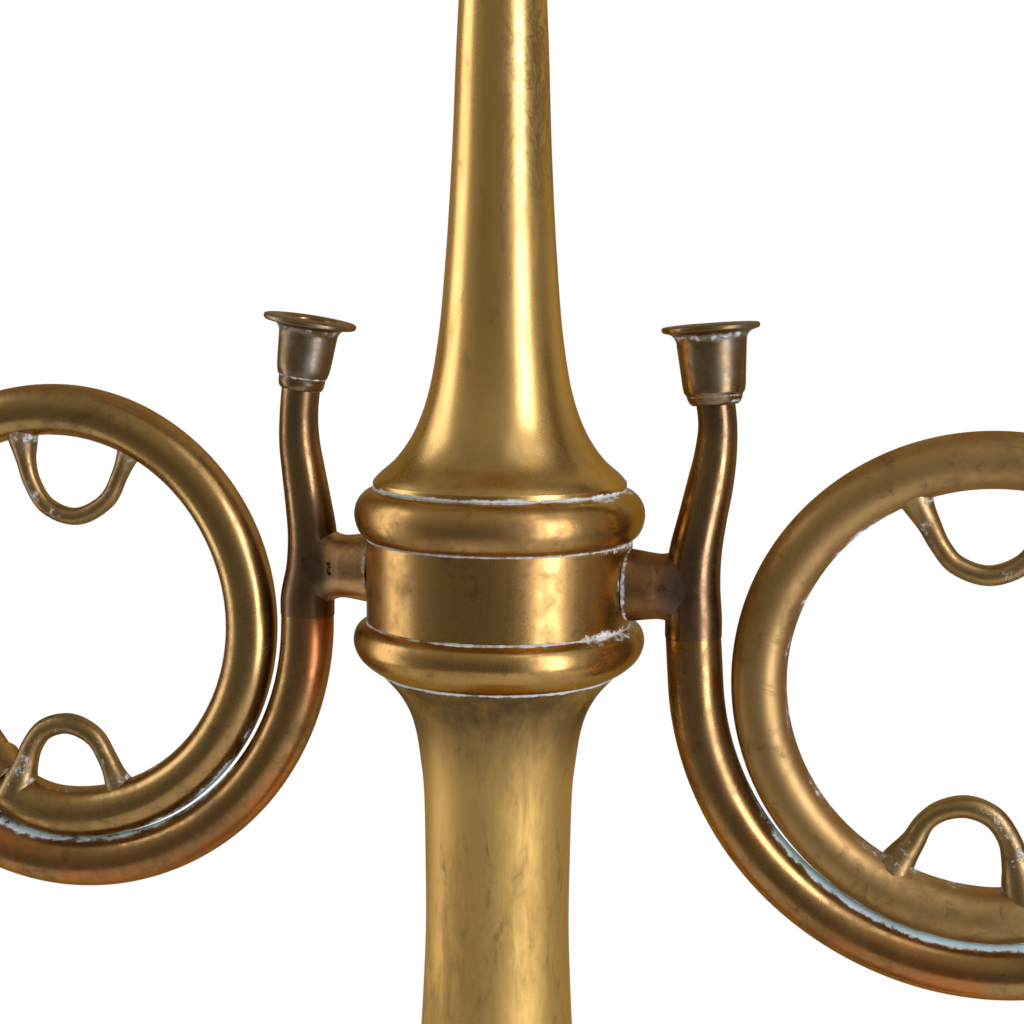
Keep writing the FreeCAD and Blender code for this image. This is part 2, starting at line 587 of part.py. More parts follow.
page_pivot = measure("page_pivot")
page_height = ledge_floor + 8
arm_thick = measure("page_arm_thick")
page_front = ledge_front - 0.3 - arm_thick
page_screws = []
for side, hand in ((-1, "left"), (1, "right")):
    pivot_x = side * page_pivot
    tip_x = pivot_x + side * measure("page_arm")
    arm = Part.makeBox(measure("page_arm"), arm_thick, 7, V(min(pivot_x, tip_x), page_front, page_height - 3.5))
    for x, size in ((pivot_x, 5), (tip_x, 6)):
        arm = arm.fuse(Part.makeCylinder(size, arm_thick, V(x, page_front, page_height), V(0, 1, 0)))
    arm = arm.cut(Part.makeCylinder(2.05, 8, V(pivot_x, page_front - 2, page_height), V(0, 1, 0)))
    arm = arm.removeSplitter()
    desk_solid(f"page_holder_{hand}", arm)
    pivot = Part.makeCylinder(2, arm_thick + gauge + 0.6, V(pivot_x, page_front - 0.3, page_height), V(0, 1, 0))
    cap = Part.makeCylinder(3.8, 1.8, V(pivot_x, page_front - 2.1, page_height), V(0, 1, 0))
    page_screws.append(pivot.fuse(cap).removeSplitter())
desk_solid("page_holder_screws", Part.makeCompound(page_screws))

# Horns. Each is laid out in the XZ plane: u runs out from the column's axis
# and h up from the middle of the band. The two were bent by hand, so each has
# its own loop centre, and its own lean at the mouthpiece.

HORNS = [
    dict(hand="left", side=-1, loop=(171.5, -21.3), arm=2.3, lean_down=1.5, mouthpiece=(70.3, 90.6), cup_lean=9.0,
         lead=[(72.3, -10), (70.6, 1), (69.9, 13), (71.4, 25), (73.3, 36), (74.9, 47), (75.0, 57)],
         lead_size=[9.9, 9.9, 9.6, 9.0, 8.4, 7.7, 7.1], lead_top=6.9,
         rings=[(164.5, 33.5, 1, 16.2), (170.6, -79.8, -1, 15.6)]),
    dict(hand="right", side=1, loop=(169.5, -28.8), arm=0.8, lean_down=4.0, mouthpiece=(73.0, 90.6), cup_lean=4.7,
         lead=[(69.3, -10), (68.5, 1), (69.3, 13), (71.5, 25), (73.9, 36.4), (75.7, 47), (76.3, 57)],
         lead_size=[9.9, 9.9, 9.6, 8.8, 8.1, 7.4, 6.8], lead_top=6.6,
         rings=[(164.0, 27.6, 1, 17.2), (162.3, -85.2, -1, 16.0)]),
]
MIDDLE = measure("band_middle")
COIL = measure("coil_radius")
LOOP = measure("loop_radius")
REACH = measure("coil_reach")
WALL = measure("tube_wall")


def in_plane(side, u, h, y=0.0):
    return V(side * u, y, MIDDLE + h)


def arc_of(side, centre, radius, start, end, lean=0.0, from_start=None):
    """An arc of a loop between two clock angles, in degrees from straight down
    and growing outwards; a lean tips the loop's plane backwards about u."""
    points = []
    for part in (0, 0.5, 1):
        angle = math.radians(start + (end - start) * part)
        drop = radius * (1 - math.cos(angle))
        back = drop * math.sin(math.radians(lean))
        rise = drop * math.cos(math.radians(lean))
        points.append(in_plane(side, centre[0] + radius * math.sin(angle), centre[1] - radius + rise, back))
    return Part.Arc(*points).toShape()


def swept(edges, radius):
    """A round bar along joined edges, square to the first one."""
    path = Part.Wire(edges)
    first = path.OrderedEdges[0]
    start = first.valueAt(first.FirstParameter)
    along = first.tangentAt(first.FirstParameter)
    hoop = Part.Wire(Part.makeCircle(radius, start, along))
    return path.makePipeShell([hoop], True, False)


def swept_tube(edges, radius, wall):
    return swept(edges, radius).cut(swept(edges, radius - wall))


def lofted(points, sizes, side):
    """A round taper through hoops set square to a run of (u, h) points."""
    hoops = []
    for number, (u, h) in enumerate(points):
        before = points[max(number - 1, 0)]
        after = points[min(number + 1, len(points) - 1)]
        along = V(side * (after[0] - before[0]), 0, after[1] - before[1])
        hoop = Part.Circle(in_plane(side, u, h), along, sizes[number])
        hoop.XAxis = V(0, 1, 0)
        hoops.append(Part.Wire(hoop.toShape()))
    return Part.makeLoft(hoops, True)


def build_horn(horn):
    side, hand = horn["side"], horn["hand"]
    a, c = horn["loop"]
    tilt = math.radians(horn["lean_down"])

    # outer coil: a short run from the seam, round the bottom and up to three o'clock
    seam = measure("seam_height")
    bottom = c - REACH
    reach = a - horn["lead"][1][0] - 1.8
    bend_centre = (a, bottom + reach)
    arc_start = (a - reach * math.cos(tilt), bend_centre[1] - reach * math.sin(tilt))
    run = (seam - arc_start[1]) / math.cos(tilt)
    seam_point = (arc_start[0] - run * math.sin(tilt), seam)
    outer = (REACH + LOOP) / 2
    outer_centre = (a, c - (REACH - LOOP) / 2)
    coil_path = [
        Part.makeLine(in_plane(side, *seam_point), in_plane(side, *arc_start)),
        arc_of(side, bend_centre, reach, -90 + horn["lean_down"], 0),
        arc_of(side, outer_centre, outer, 0, 90),
    ]
    keep_shape(f"{hand}_outer_coil", swept_tube(coil_path, COIL, WALL))

    # inner loop: over the top, down beside the column and into the throat bend
    tube = measure("loop_tube")
    bend = measure("throat_bend")
    turn = measure("throat_turn")
    lean = measure("throat_lean")
    throat_centre = (a, c - LOOP + bend)
    loop_path = [
        arc_of(side, outer_centre, outer, 90, 180),
        arc_of(side, (a, c), LOOP, 180, 360),
        arc_of(side, throat_centre, bend, 0, turn, lean),
    ]
    keep_shape(f"{hand}_inner_loop", swept_tube(loop_path, tube, WALL))

    # bell along the throat's last heading, with its wired mouth and sleeves
    end = loop_path[-1].valueAt(loop_path[-1].LastParameter)
    start = loop_path[-1].valueAt(loop_path[-1].FirstParameter)
    if end.distanceToPoint(in_plane(side, a, c - LOOP)) < start.distanceToPoint(in_plane(side, a, c - LOOP)):
        end = start
    heading = V(side * math.cos(math.radians(turn)),
                math.sin(math.radians(turn)) * math.sin(math.radians(lean)),
                math.sin(math.radians(turn)) * math.cos(math.radians(lean)))
    length = measure("bell_length")
    mouth = measure("bell_mouth")
    flare = measure("bell_flare")
    shape = math.log(mouth / tube) / math.log((flare + length) / flare)

    def bell_radius(along):
        return mouth * (flare / (flare + length - along)) ** shape

    stations = [0.28, 0.5, 0.68, 0.8, 0.88, 0.94, 0.975]
    side_points = [(bell_radius(length * s), length * s) for s in stations]
    inner = inset([(tube, 0)] + side_points + [(mouth, length)], WALL)[1:-1]
    to_heading = FreeCAD.Rotation(UP, heading)
    bell = turned(f"{hand}_bell", [
        ("loop_tube", 0), ("bell_mouth", "bell_length", side_points), ("bell_mouth - tube_wall", "bell_length"),
        ("loop_tube - tube_wall", 0, inner[::-1]),
    ], x=end.x, y=end.y, z=end.z, turn=to_heading)
    mouth_centre = end + heading * (length - 0.6)
    keep_shape(f"{hand}_bell_wire", Part.makeTorus(mouth, measure("bell_wire"), mouth_centre, heading))

    sleeves = []
    for place, along, held in ((end, heading, tube), (in_plane(side, a + outer, outer_centre[1]), UP, COIL)):
        long = measure("sleeve_length")
        low = place - along * (long / 2)
        sleeve = Part.makeCylinder(measure("sleeve_radius"), long, low, along)
        sleeve = sleeve.makeFillet(1.0, [e for e in sleeve.Edges if e.Closed])
        sleeves.append(sleeve.cut(Part.makeCylinder(held, long, low, along)))
    keep_shape(f"{hand}_horn_sleeves", Part.makeCompound(sleeves))

    # brace between the bell's throat and the coil that it passes behind
    hub = in_plane(side, *outer_centre)
    nearest = None
    for step in range(40, 100):
        on_bell = end + heading * step
        flat = V(on_bell.x - hub.x, 0, on_bell.z - hub.z)
        on_coil = hub + flat.normalize() * outer
        gap = on_bell.distanceToPoint(on_coil)
        if nearest is None or gap < nearest[0]:
            nearest = (gap, on_coil, on_bell, step)
    gap, on_coil, on_bell, step = nearest
    across = (on_bell - on_coil).normalize()
    brace_start = on_coil + across * (COIL - 0.5)
    brace_length = gap - COIL - bell_radius(step) + 1.0
    brace = Part.makeCylinder(measure("brace_radius"), brace_length, brace_start, across)
    keep_shape(f"{hand}_bell_brace", brace)

    # lead pipe from the seam up to the mouthpiece, and the mouthpiece itself
    cup_lean = math.radians(horn["cup_lean"])
    cup_top = horn["mouthpiece"]
    cup_long = measure("cup_length")
    socket = (cup_top[0] + (cup_long - 2) * math.sin(cup_lean), cup_top[1] - (cup_long - 2) * math.cos(cup_lean))
    lead = [seam_point] + horn["lead"] + [socket]
    sizes = [COIL + 0.25] + horn["lead_size"] + [horn["lead_top"]]
    bore = [size - 1.6 for size in sizes]
    keep_shape(f"{hand}_lead_pipe", lofted(lead, sizes, side).cut(lofted(lead, bore, side)))

    top = horn["lead_top"]
    turned(f"{hand}_mouthpiece", [
        ("cup_bore", 0), (top + 0.4, 0), (top + 0.5, 1.4), (8.3, 2.2), (9.5, 5.6), (9.9, 8.2),
        (11.0, "cup_length - 6.4"), ("cup_rim - 0.8", "cup_length - cup_rim_edge", [(12.2, 20.8), (14.2, 22.2)]),
        ("cup_rim", "cup_length - 1.6"), ("cup_rim - 1.2", "cup_length - 0.4"),
        ("cup_bowl + 1.5", "cup_length + 0.3", [(13, 25.6)]), ("cup_bowl", "cup_length - 0.6"),
        ("cup_bore", 9, [(7.8, 18.5), (5.4, 12.6)]),
    ], x=side * (cup_top[0] + cup_long * math.sin(cup_lean)), y=0,
        z=MIDDLE + cup_top[1] - cup_long * math.cos(cup_lean),
        turn=rotation(V(0, 1, 0), -side * horn["cup_lean"]))

    # arm: a stub screwed through the band into the hub, its end inside the pipe
    arm_base = measure("band_radius") - 1.0
    tail = measure("arm_tail_length")
    turned(f"{hand}_horn_arm", [
        (0, 0), ("arm_tail", 0), ("arm_tail", "arm_tail_length"), ("arm_root", "arm_tail_length"),
        ("arm_root - 0.3", "arm_tail_length + 3"), ("arm_tip", "arm_tail_length + arm_length"),
        (0, "arm_tail_length + arm_length"),
    ], x=side * (arm_base - tail), y=0, z=MIDDLE + horn["arm"],
        turn=rotation(V(0, 1, 0), side * 90))

    # finger rings: cast half loops that stand on the inside of the inner loop
    bar = measure("ring_bar")
    for (ring_u, ring_h, way, ring_radius), name in zip(horn["rings"], ("upper", "lower")):
        path = []
        left_end = (ring_u - ring_radius, ring_h)
        right_end = (ring_u + ring_radius, ring_h)
        feet = []
        for u, h in (left_end, right_end):
            if way > 0:
                centre, radius, half_tube = (a, c), LOOP, tube
                if u > a:
                    centre, radius = outer_centre, outer
                inner_edge = centre[1] + math.sqrt((radius - half_tube) ** 2 - (u - centre[0]) ** 2)
            else:
                centre, radius = (a, c), LOOP
                if u > a:
                    centre, radius = throat_centre, bend
                inner_edge = centre[1] - math.sqrt((radius - tube) ** 2 - (u - centre[0]) ** 2)
            feet.append((u, inner_edge + way * 1.8))
        path.append(Part.makeLine(in_plane(side, *feet[0]), in_plane(side, *left_end)))
        crown = (ring_u, ring_h - way * ring_radius)
        path.append(Part.Arc(in_plane(side, *left_end), in_plane(side, *crown), in_plane(side, *right_end)).toShape())
        path.append(Part.makeLine(in_plane(side, *right_end), in_plane(side, *feet[1])))
        keep_shape(f"{hand}_{name}_finger_ring", swept(path, bar))


for horn in HORNS:
    build_horn(horn)

# Check every object and every sub-part's solid, then write the sub-parts.

doc.recompute()
for thing in doc.Objects:
    if "Invalid" in thing.State or "Error" in thing.State:
        raise RuntimeError(f"{thing.Label} did not compute: {thing.State}")
os.makedirs("parts", exist_ok=True)
for label, thing in nodes.items():
    shape = thing.Shape
    if shape.isNull() or not shape.isValid() or not shape.Solids:
        raise RuntimeError(f"{label} has no sound solid")
    shape.exportStep(f"parts/{label}.step")
    box = shape.BoundBox
    print(f"{label:26s} solids {len(shape.Solids)}  {shape.Volume / 1000:9.2f} cm3  "
          f"x {box.XMin:7.1f} {box.XMax:7.1f}  y {box.YMin:6.1f} {box.YMax:6.1f}  z {box.ZMin:7.1f} {box.ZMax:7.1f}")
print(len(nodes), "sub-parts")
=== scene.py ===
import math
import bmesh
import bpy
from mathutils import Matrix, Vector


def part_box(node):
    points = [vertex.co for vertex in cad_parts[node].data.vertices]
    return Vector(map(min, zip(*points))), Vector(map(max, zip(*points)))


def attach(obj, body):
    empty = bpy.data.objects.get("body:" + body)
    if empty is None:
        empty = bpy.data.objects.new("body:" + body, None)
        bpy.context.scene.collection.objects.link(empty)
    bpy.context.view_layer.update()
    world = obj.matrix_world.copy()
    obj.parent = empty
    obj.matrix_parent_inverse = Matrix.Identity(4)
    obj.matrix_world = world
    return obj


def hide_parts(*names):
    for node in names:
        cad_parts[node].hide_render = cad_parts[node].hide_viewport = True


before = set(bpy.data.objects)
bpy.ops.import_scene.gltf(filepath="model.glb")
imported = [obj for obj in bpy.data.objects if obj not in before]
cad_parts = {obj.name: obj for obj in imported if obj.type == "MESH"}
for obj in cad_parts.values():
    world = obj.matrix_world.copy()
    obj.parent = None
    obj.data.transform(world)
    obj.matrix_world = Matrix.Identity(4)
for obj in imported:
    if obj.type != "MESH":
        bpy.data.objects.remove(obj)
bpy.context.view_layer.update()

# ------------------------------------------------------------------ The studio
# A white room with a pale disc of floor, a tall soft box to the right of the
# camera, a wide one on the left and a weak one above. The camera looks slightly
# down on the collar from above the mouthpieces.

MM = 0.001
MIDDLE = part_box("collar_band")[0].z + 14 * MM    # the height of the arms
FLOOR_RADIUS = 1.15


class Wire:
    """A node's output. Sums on a number that changes over a surface add Math nodes."""

    def __init__(self, recipe, socket):
        self.recipe, self.socket = recipe, socket

    def math(self, operation, *others):
        return self.recipe.node("ShaderNodeMath", {"operation": operation},
                                {0: self, **dict(enumerate(others, 1))})

    def __add__(self, other):
        return self.math("ADD", other)

    def __mul__(self, other):
        return self.math("MULTIPLY", other)

    def __sub__(self, other):
        return self.math("SUBTRACT", other)

    def __rsub__(self, other):
        return self.recipe.node("ShaderNodeMath", {"operation": "SUBTRACT"}, {0: other, 1: self})

    __radd__, __rmul__ = __add__, __mul__

    def most(self, other):
        return self.math("MAXIMUM", other)

    def ramp(self, low, high):
        """0 below low and 1 above high, smooth between; falling where low is the larger."""
        rising = self.recipe.node("ShaderNodeMapRange", {"interpolation_type": "SMOOTHSTEP"},
                                  {"Value": self, "From Min": min(low, high), "From Max": max(low, high)})
        return rising if low < high else 1.0 - rising

    def near(self, middle, reach):
        """1 at the middle, falling to 0 a reach away on either side."""
        return (self - middle).math("ABSOLUTE").ramp(reach, 0.0)


class Recipe:
    """The nodes of one finish, read from Object coordinates, or of the world."""

    def __init__(self, owner):
        self.owner = owner
        owner.use_nodes = True
        self.tree = owner.node_tree
        self.tree.nodes.clear()
        on_piece = isinstance(owner, bpy.types.Material)
        self.place = self.node("ShaderNodeTexCoord", {}, {}, "Object" if on_piece else "Generated")
        split = self.node("ShaderNodeSeparateXYZ", {}, {"Vector": self.place}).socket.node
        self.x, self.y, self.z = (Wire(self, split.outputs[axis]) for axis in "XYZ")

    def node(self, kind, settings, sockets, output=0):
        """Add a node of a type with its settings, then its sockets' values or links."""
        made = self.tree.nodes.new(kind)
        for key, value in settings.items():
            setattr(made, key, value)
        for key, value in sockets.items():
            socket = made.inputs[key] if isinstance(key, int) else next(
                s for s in made.inputs if key in (s.name, s.identifier) and s.enabled)
            if isinstance(value, Wire):
                self.tree.links.new(value.socket, socket)
            elif isinstance(value, tuple) and socket.type == "RGBA":
                socket.default_value = (*value, 1)
            else:
                socket.default_value = value
        return Wire(self, made.outputs[output]) if made.outputs else None

    def noise(self, scale, detail=4.0, rough=0.55, stretch=(1, 1, 1), shift=(0, 0, 0), warp=0.0):
        where = self.node("ShaderNodeMapping", {}, {
            "Vector": self.place, "Scale": stretch, "Location": shift})
        return self.node("ShaderNodeTexNoise", {}, {
            "Vector": where, "Scale": scale, "Detail": detail, "Roughness": rough, "Distortion": warp})

    def blend(self, first, second, amount):
        return self.node("ShaderNodeMix", {"data_type": "RGBA"},
                         {"Factor": amount, "A_Color": first, "B_Color": second}, 2)

    def surface(self, colour, rough, metal, height, depth=0.05 * MM, **fixed):
        bump = self.node("ShaderNodeBump", {}, {"Height": height, "Distance": depth})
        shader = self.node("ShaderNodeBsdfPrincipled", {}, {
            "Base Color": colour, "Roughness": rough, "Metallic": metal, "Normal": bump, **fixed})
        self.node("ShaderNodeOutputMaterial", {}, {"Surface": shader})
        return self.owner


camera = bpy.data.objects.new("camera", bpy.data.cameras.new("camera"))
bpy.context.scene.collection.objects.link(camera)
camera.data.lens, camera.data.sensor_width, camera.data.clip_start = 63.66, 36, 0.01
heading, pitch, roll = math.radians(-14.74), math.radians(-7.68), math.radians(0.40)
ahead = Vector((math.sin(heading) * math.cos(pitch), math.cos(heading) * math.cos(pitch),
                math.sin(pitch)))
level = Vector((math.cos(heading), -math.sin(heading), 0))
rightward = level * math.cos(roll) + level.cross(ahead) * math.sin(roll)
turn = Matrix((rightward, rightward.cross(ahead), -ahead)).transposed().to_4x4()
camera.matrix_world = Matrix.Translation((0.1646, -0.6088, MIDDLE + 0.1094)) @ turn
bpy.context.scene.camera = camera
bpy.context.scene.view_settings.view_transform = "Standard"


def soft_box(name, azimuth, height, away, wide, tall, power, colour=(0.94, 1.0, 1.36), tip=0):
    """A rectangular lamp that stands at an azimuth and faces the column."""
    lamp = bpy.data.objects.new(name, bpy.data.lights.new(name, "AREA"))
    bpy.context.scene.collection.objects.link(lamp)
    lamp.data.shape = "RECTANGLE"
    lamp.data.size, lamp.data.size_y = wide, tall
    lamp.data.energy, lamp.data.color = power, colour
    angle = math.radians(azimuth)
    lamp.location = (away * math.sin(angle), -away * math.cos(angle), height)
    lamp.rotation_euler = (math.pi / 2 - math.radians(tip), 0, angle)


soft_box("right_box", 57, 0.98, 1.5, 0.50, 1.9, 20)
soft_box("left_box", -84, 0.98, 1.4, 0.80, 1.9, 10)
soft_box("top_box", 60, 2.3, 1.1, 1.2, 0.6, 3, tip=50)

bpy.context.scene.world = bpy.data.worlds.new("studio")
sky = Recipe(bpy.context.scene.world)
glow = (sky.y.ramp(0.25, 0.95) * 0.42 + sky.y.ramp(0.9, -0.9) * 0.10 + sky.z.ramp(-0.1, 0.9) * 0.26
            + sky.x.math("ABSOLUTE").ramp(0.35, 0.95) * 0.10)
around = sky.node("ShaderNodeBackground", {}, {"Color": (1.0, 0.97, 0.93), "Strength": glow + 0.03})
white_wall = sky.node("ShaderNodeBackground", {}, {"Color": (1, 1, 1), "Strength": 1.0})
looked_at = sky.node("ShaderNodeLightPath", {}, {}, "Is Camera Ray")
sky.node("ShaderNodeOutputWorld", {}, {
    "Surface": sky.node("ShaderNodeMixShader", {}, {0: looked_at, 1: around, 2: white_wall})})

floor_mesh = bpy.data.meshes.new("floor")
disc = bmesh.new()
bmesh.ops.create_circle(disc, cap_ends=True, segments=128, radius=FLOOR_RADIUS)
disc.to_mesh(floor_mesh)
disc.free()
floor = bpy.data.objects.new("floor", floor_mesh)
bpy.context.scene.collection.objects.link(floor)
paper = Recipe(bpy.data.materials.new("white_paper"))
fibres = paper.noise(90, 5, 0.6)
floor_mesh.materials.append(paper.surface(
    paper.blend((0.80, 0.80, 0.79), (0.86, 0.86, 0.85), fibres),
    0.8 + fibres * 0.1, 0.0, fibres, 0.2 * MM))

# ------------------------------------------------- Felt, iron weight and tie rod
# Green wool felt under a black painted iron casting keeps the stand upright. A
# long steel rod with a nut and washer at each end pulls foot and column together.

felt = Recipe(bpy.data.materials.new("green_felt"))
wool = felt.noise(700, 6, 0.75, warp=1.2)
pile = felt.noise(60, 4, 0.6)
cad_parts["base_felt"].data.materials[0] = felt.surface(
    felt.blend(felt.blend((0.020, 0.060, 0.032), (0.045, 0.12, 0.065), wool),
               (0.10, 0.12, 0.08), pile.ramp(0.62, 0.85)),
    0.92 + wool * 0.06, 0.0, wool, 0.6 * MM)

iron = Recipe(bpy.data.materials.new("painted_iron"))
cast = iron.noise(240, 6, 0.62)
chip = iron.noise(35, 6, 0.7).ramp(0.66, 0.70)
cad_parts["base_weight"].data.materials[0] = iron.surface(
    iron.blend(iron.blend((0.018, 0.018, 0.020), (0.040, 0.039, 0.038), cast),
               (0.20, 0.075, 0.035), chip),
    0.52 + chip * 0.35 + cast * 0.1, 0.0, cast - chip, 0.3 * MM)

steel = Recipe(bpy.data.materials.new("dull_steel"))
drawn = steel.noise(900, 3, 0.6, (1, 1, 0.05))
rust = steel.noise(55, 6, 0.7).ramp(0.60, 0.72)
dull_steel = steel.surface(
    steel.blend(steel.blend((0.42, 0.41, 0.39), (0.56, 0.55, 0.52), drawn), (0.22, 0.10, 0.05), rust),
    0.34 + drawn * 0.12 + rust * 0.4, 1.0 - rust * 0.9, drawn * 0.4 + rust, 0.06 * MM)
for name in ("base_spacer", "column_plug", "tie_rod", "tie_rod_washers", "tie_rod_nuts"):
    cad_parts[name].data.materials[0] = dull_steel

# ---------------------------------------------------- Spun foot and its rim wire
# The foot is a trumpet spun from sheet brass, its rim rolled over a stout wire.
# A turned collar ring covers the joint where the column stands on it.


COPPERY, SHEEN, DRIED_POLISH = (0.62, 0.30, 0.10), (0.62, 0.46, 0.30), (0.80, 0.80, 0.72)


def old_brass(name, bright, dull, dark, ageing=0.5, gloss=0.26, clouds=14, stretch=(1, 1, 1), seed=0.0,
              tints=(), crust=None, chalk=(0.60, 0.62, 0.52)):
    """Brass that has lost its lacquer: bright metal under clouds of tarnish, dark
    specks and fine nicks. A tint is (mask, colour), and the crust is a mask
    for the polish and verdigris that dried in the corners."""
    skin = Recipe(bpy.data.materials.new(name))
    cloud = skin.noise(clouds, 5, 0.6, stretch, (seed, 0, seed))
    mottle = skin.noise(clouds * 6, 7, 0.68, stretch, (0, seed, 0), 0.6)
    grain = skin.noise(1400, 2, 0.5, stretch)
    rub = skin.noise(160, 4, 0.6, (1, 1, 0.12), (seed, 1, 0)).ramp(0.45, 0.75)
    nick = skin.noise(230, 1, 0.5, (1, 0.3, 0.14), (0, seed, 2)).ramp(0.745, 0.775)
    worn = (cloud * 0.7 + mottle * 0.5).ramp(0.72 - 0.3 * ageing, 0.86 - 0.2 * ageing)
    speck = skin.noise(420, 4, 0.7).ramp(0.66, 0.74) * mottle.ramp(0.42, 0.62)
    colour = skin.blend(bright, dull, worn)
    colour = skin.blend(colour, dark, mottle.ramp(0.56, 0.74) * (0.25 + 0.6 * ageing))
    colour = skin.blend(colour, dark, speck * (0.35 + 0.4 * ageing) + rub * 0.12)
    colour = skin.blend(colour, COPPERY,
                        skin.noise(clouds * 2.5, 5, 0.6, stretch, (9, seed, 0)).ramp(0.60, 0.75) * 0.35)
    for mask, tint in tints:
        colour = skin.blend(colour, tint, mask(skin))
    rough = gloss + worn * (0.06 + 0.09 * ageing) + speck * 0.2 + rub * 0.07 + grain * 0.05
    height = mottle * 0.5 + grain * 0.12 - nick * 0.25 - speck * 0.3
    metal = 1.0 - worn * 0.12 * ageing - speck * 0.3
    if crust:
        crumbs = skin.noise(420, 6, 0.72) - 0.5
        lumps = skin.noise(80, 4, 0.6) - 0.5
        thick = crust(skin)
        white = (thick + crumbs * 1.2 + lumps * 1.2).ramp(0.48, 0.74)
        film = (thick + lumps * 1.2).ramp(0.25, 1.0) * 0.30
        colour = skin.blend(skin.blend(colour, chalk, film),
                            skin.blend(chalk, DRIED_POLISH, crumbs.ramp(-0.1, 0.2)), white)
        rough = rough + white * 0.5 + film * 0.4
        metal = metal - white * 0.95 - film * 0.8
        height = height + white * 3.0
    return skin.surface(colour, rough.math("MINIMUM", 0.95), metal.most(0.0), height,
                        **{"Specular Tint": SHEEN})


def unit(vector):
    size = math.hypot(*vector)
    return tuple(part / size for part in vector)


def smooth_run(points, steps=7):
    """A dense run on a smooth curve through the points."""
    lead_in, lead_out = (tuple(2 * a - b for a, b in zip(end, inner))
                         for end, inner in (points[:2], points[:-3:-1]))
    row = [lead_in, *points, lead_out]
    dense = []
    for p0, p1, p2, p3 in zip(row, row[1:], row[2:], row[3:]):
        gaps = [math.dist(a, b) ** 0.5 for a, b in ((p0, p1), (p1, p2), (p2, p3))]
        for step in range(steps):
            t = step / steps
            point = []
            for a, b, c, d in zip(p0, p1, p2, p3):
                m1 = (c - b) + gaps[1] * ((b - a) / gaps[0] - (c - a) / (gaps[0] + gaps[1]))
                m2 = (c - b) + gaps[1] * ((d - c) / gaps[2] - (d - b) / (gaps[1] + gaps[2]))
                point.append((2 * t ** 3 - 3 * t ** 2 + 1) * b + (t ** 3 - 2 * t ** 2 + t) * m1
                             + (-2 * t ** 3 + 3 * t ** 2) * c + (t ** 3 - t ** 2) * m2)
            dense.append(tuple(point))
    return dense + [tuple(points[-1])]


STRAIGHT_ENOUGH = math.cos(math.radians(28))
ON_AXIS = 1e-6


def outline_of(corners, ease):
    """A closed half outline from (radius, height) corners. A third entry is a run
    of points that the edge to the corner passes through. Hard corners are eased."""
    loop = []
    for number, corner in enumerate(corners):
        before = corners[number - 1][:2]
        loop += smooth_run([before, *corner[2], corner[:2]])[1:] if len(corner) > 2 else [corner[:2]]
    eased = []
    for number, here in enumerate(loop):
        before, after = loop[number - 1], loop[(number + 1) % len(loop)]
        back, on = (before[0] - here[0], before[1] - here[1]), (after[0] - here[0], after[1] - here[1])
        onward = -sum(a * b for a, b in zip(unit(back), unit(on)))
        if here[0] < ON_AXIS or onward > STRAIGHT_ENOUGH:
            eased.append(here)
            continue
        cut = [min(ease, 0.4 * math.hypot(*way)) for way in (back, on)]
        start = [h + c * cut[0] for h, c in zip(here, unit(back))]
        end = [h + c * cut[1] for h, c in zip(here, unit(on))]
        for t in (0, 0.25, 0.5, 0.75, 1):
            eased.append(tuple((1 - t) ** 2 * s + 2 * t * (1 - t) * h + t * t * e
                               for s, h, e in zip(start, here, end)))
    return eased


def lathe(name, corners, finish, base=0.0, ease=0.5, rounds=144, place=None):
    """A piece turned about +Z from an outline in millimetres that stands on a base height."""
    outline = outline_of(corners, ease)
    turning = bmesh.new()
    rings = []
    for radius, height in outline:
        around_axis = 1 if radius < ON_AXIS else rounds
        rings.append([turning.verts.new((radius * MM * math.cos(2 * math.pi * k / rounds),
                                         radius * MM * math.sin(2 * math.pi * k / rounds),
                                         (base + height) * MM))
                      for k in range(around_axis)])
    for number, ring in enumerate(rings):
        onward = rings[(number + 1) % len(rings)]
        if len(ring) == len(onward) == 1:
            continue
        for k in range(rounds):
            corners_of_face = [ring[k % len(ring)], ring[(k + 1) % len(ring)],
                               onward[(k + 1) % len(onward)], onward[k % len(onward)]]
            turning.faces.new(list(dict.fromkeys(corners_of_face)))
    return cut_from(name, turning, finish, place)


def cut_from(name, shape, finish, place=None, sharp=35):
    """A smooth shaded object from a closed bmesh, put in its place in the mesh."""
    bmesh.ops.recalc_face_normals(shape, faces=shape.faces)
    mesh = bpy.data.meshes.new(name)
    shape.to_mesh(mesh)
    shape.free()
    if place:
        mesh.transform(place)
    mesh.materials.append(finish)
    mesh.shade_smooth()
    mesh.set_sharp_from_angle(angle=math.radians(sharp))
    piece = bpy.data.objects.new(name, mesh)
    bpy.context.scene.collection.objects.link(piece)
    return piece


def fit(piece, body, slot, *nodes):
    """The piece moves with a body and stands for CAD nodes, which it hides. The slot is not used."""
    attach(piece, body)
    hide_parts(*nodes)


FOOT_GOLD, FOOT_OLIVE, FOOT_BROWN = (0.52, 0.315, 0.095), (0.32, 0.20, 0.065), (0.13, 0.078, 0.030)
RIM_RADIUS, WIRE_RADIUS, RIM_HEIGHT, COLLAR_BASE = 147, 4, 5, 97


def low_dirt(skin):
    """Dust and dried polish near the floor and in the hollow of the rim."""
    return skin.z.ramp(0.020, 0.010) * 0.55


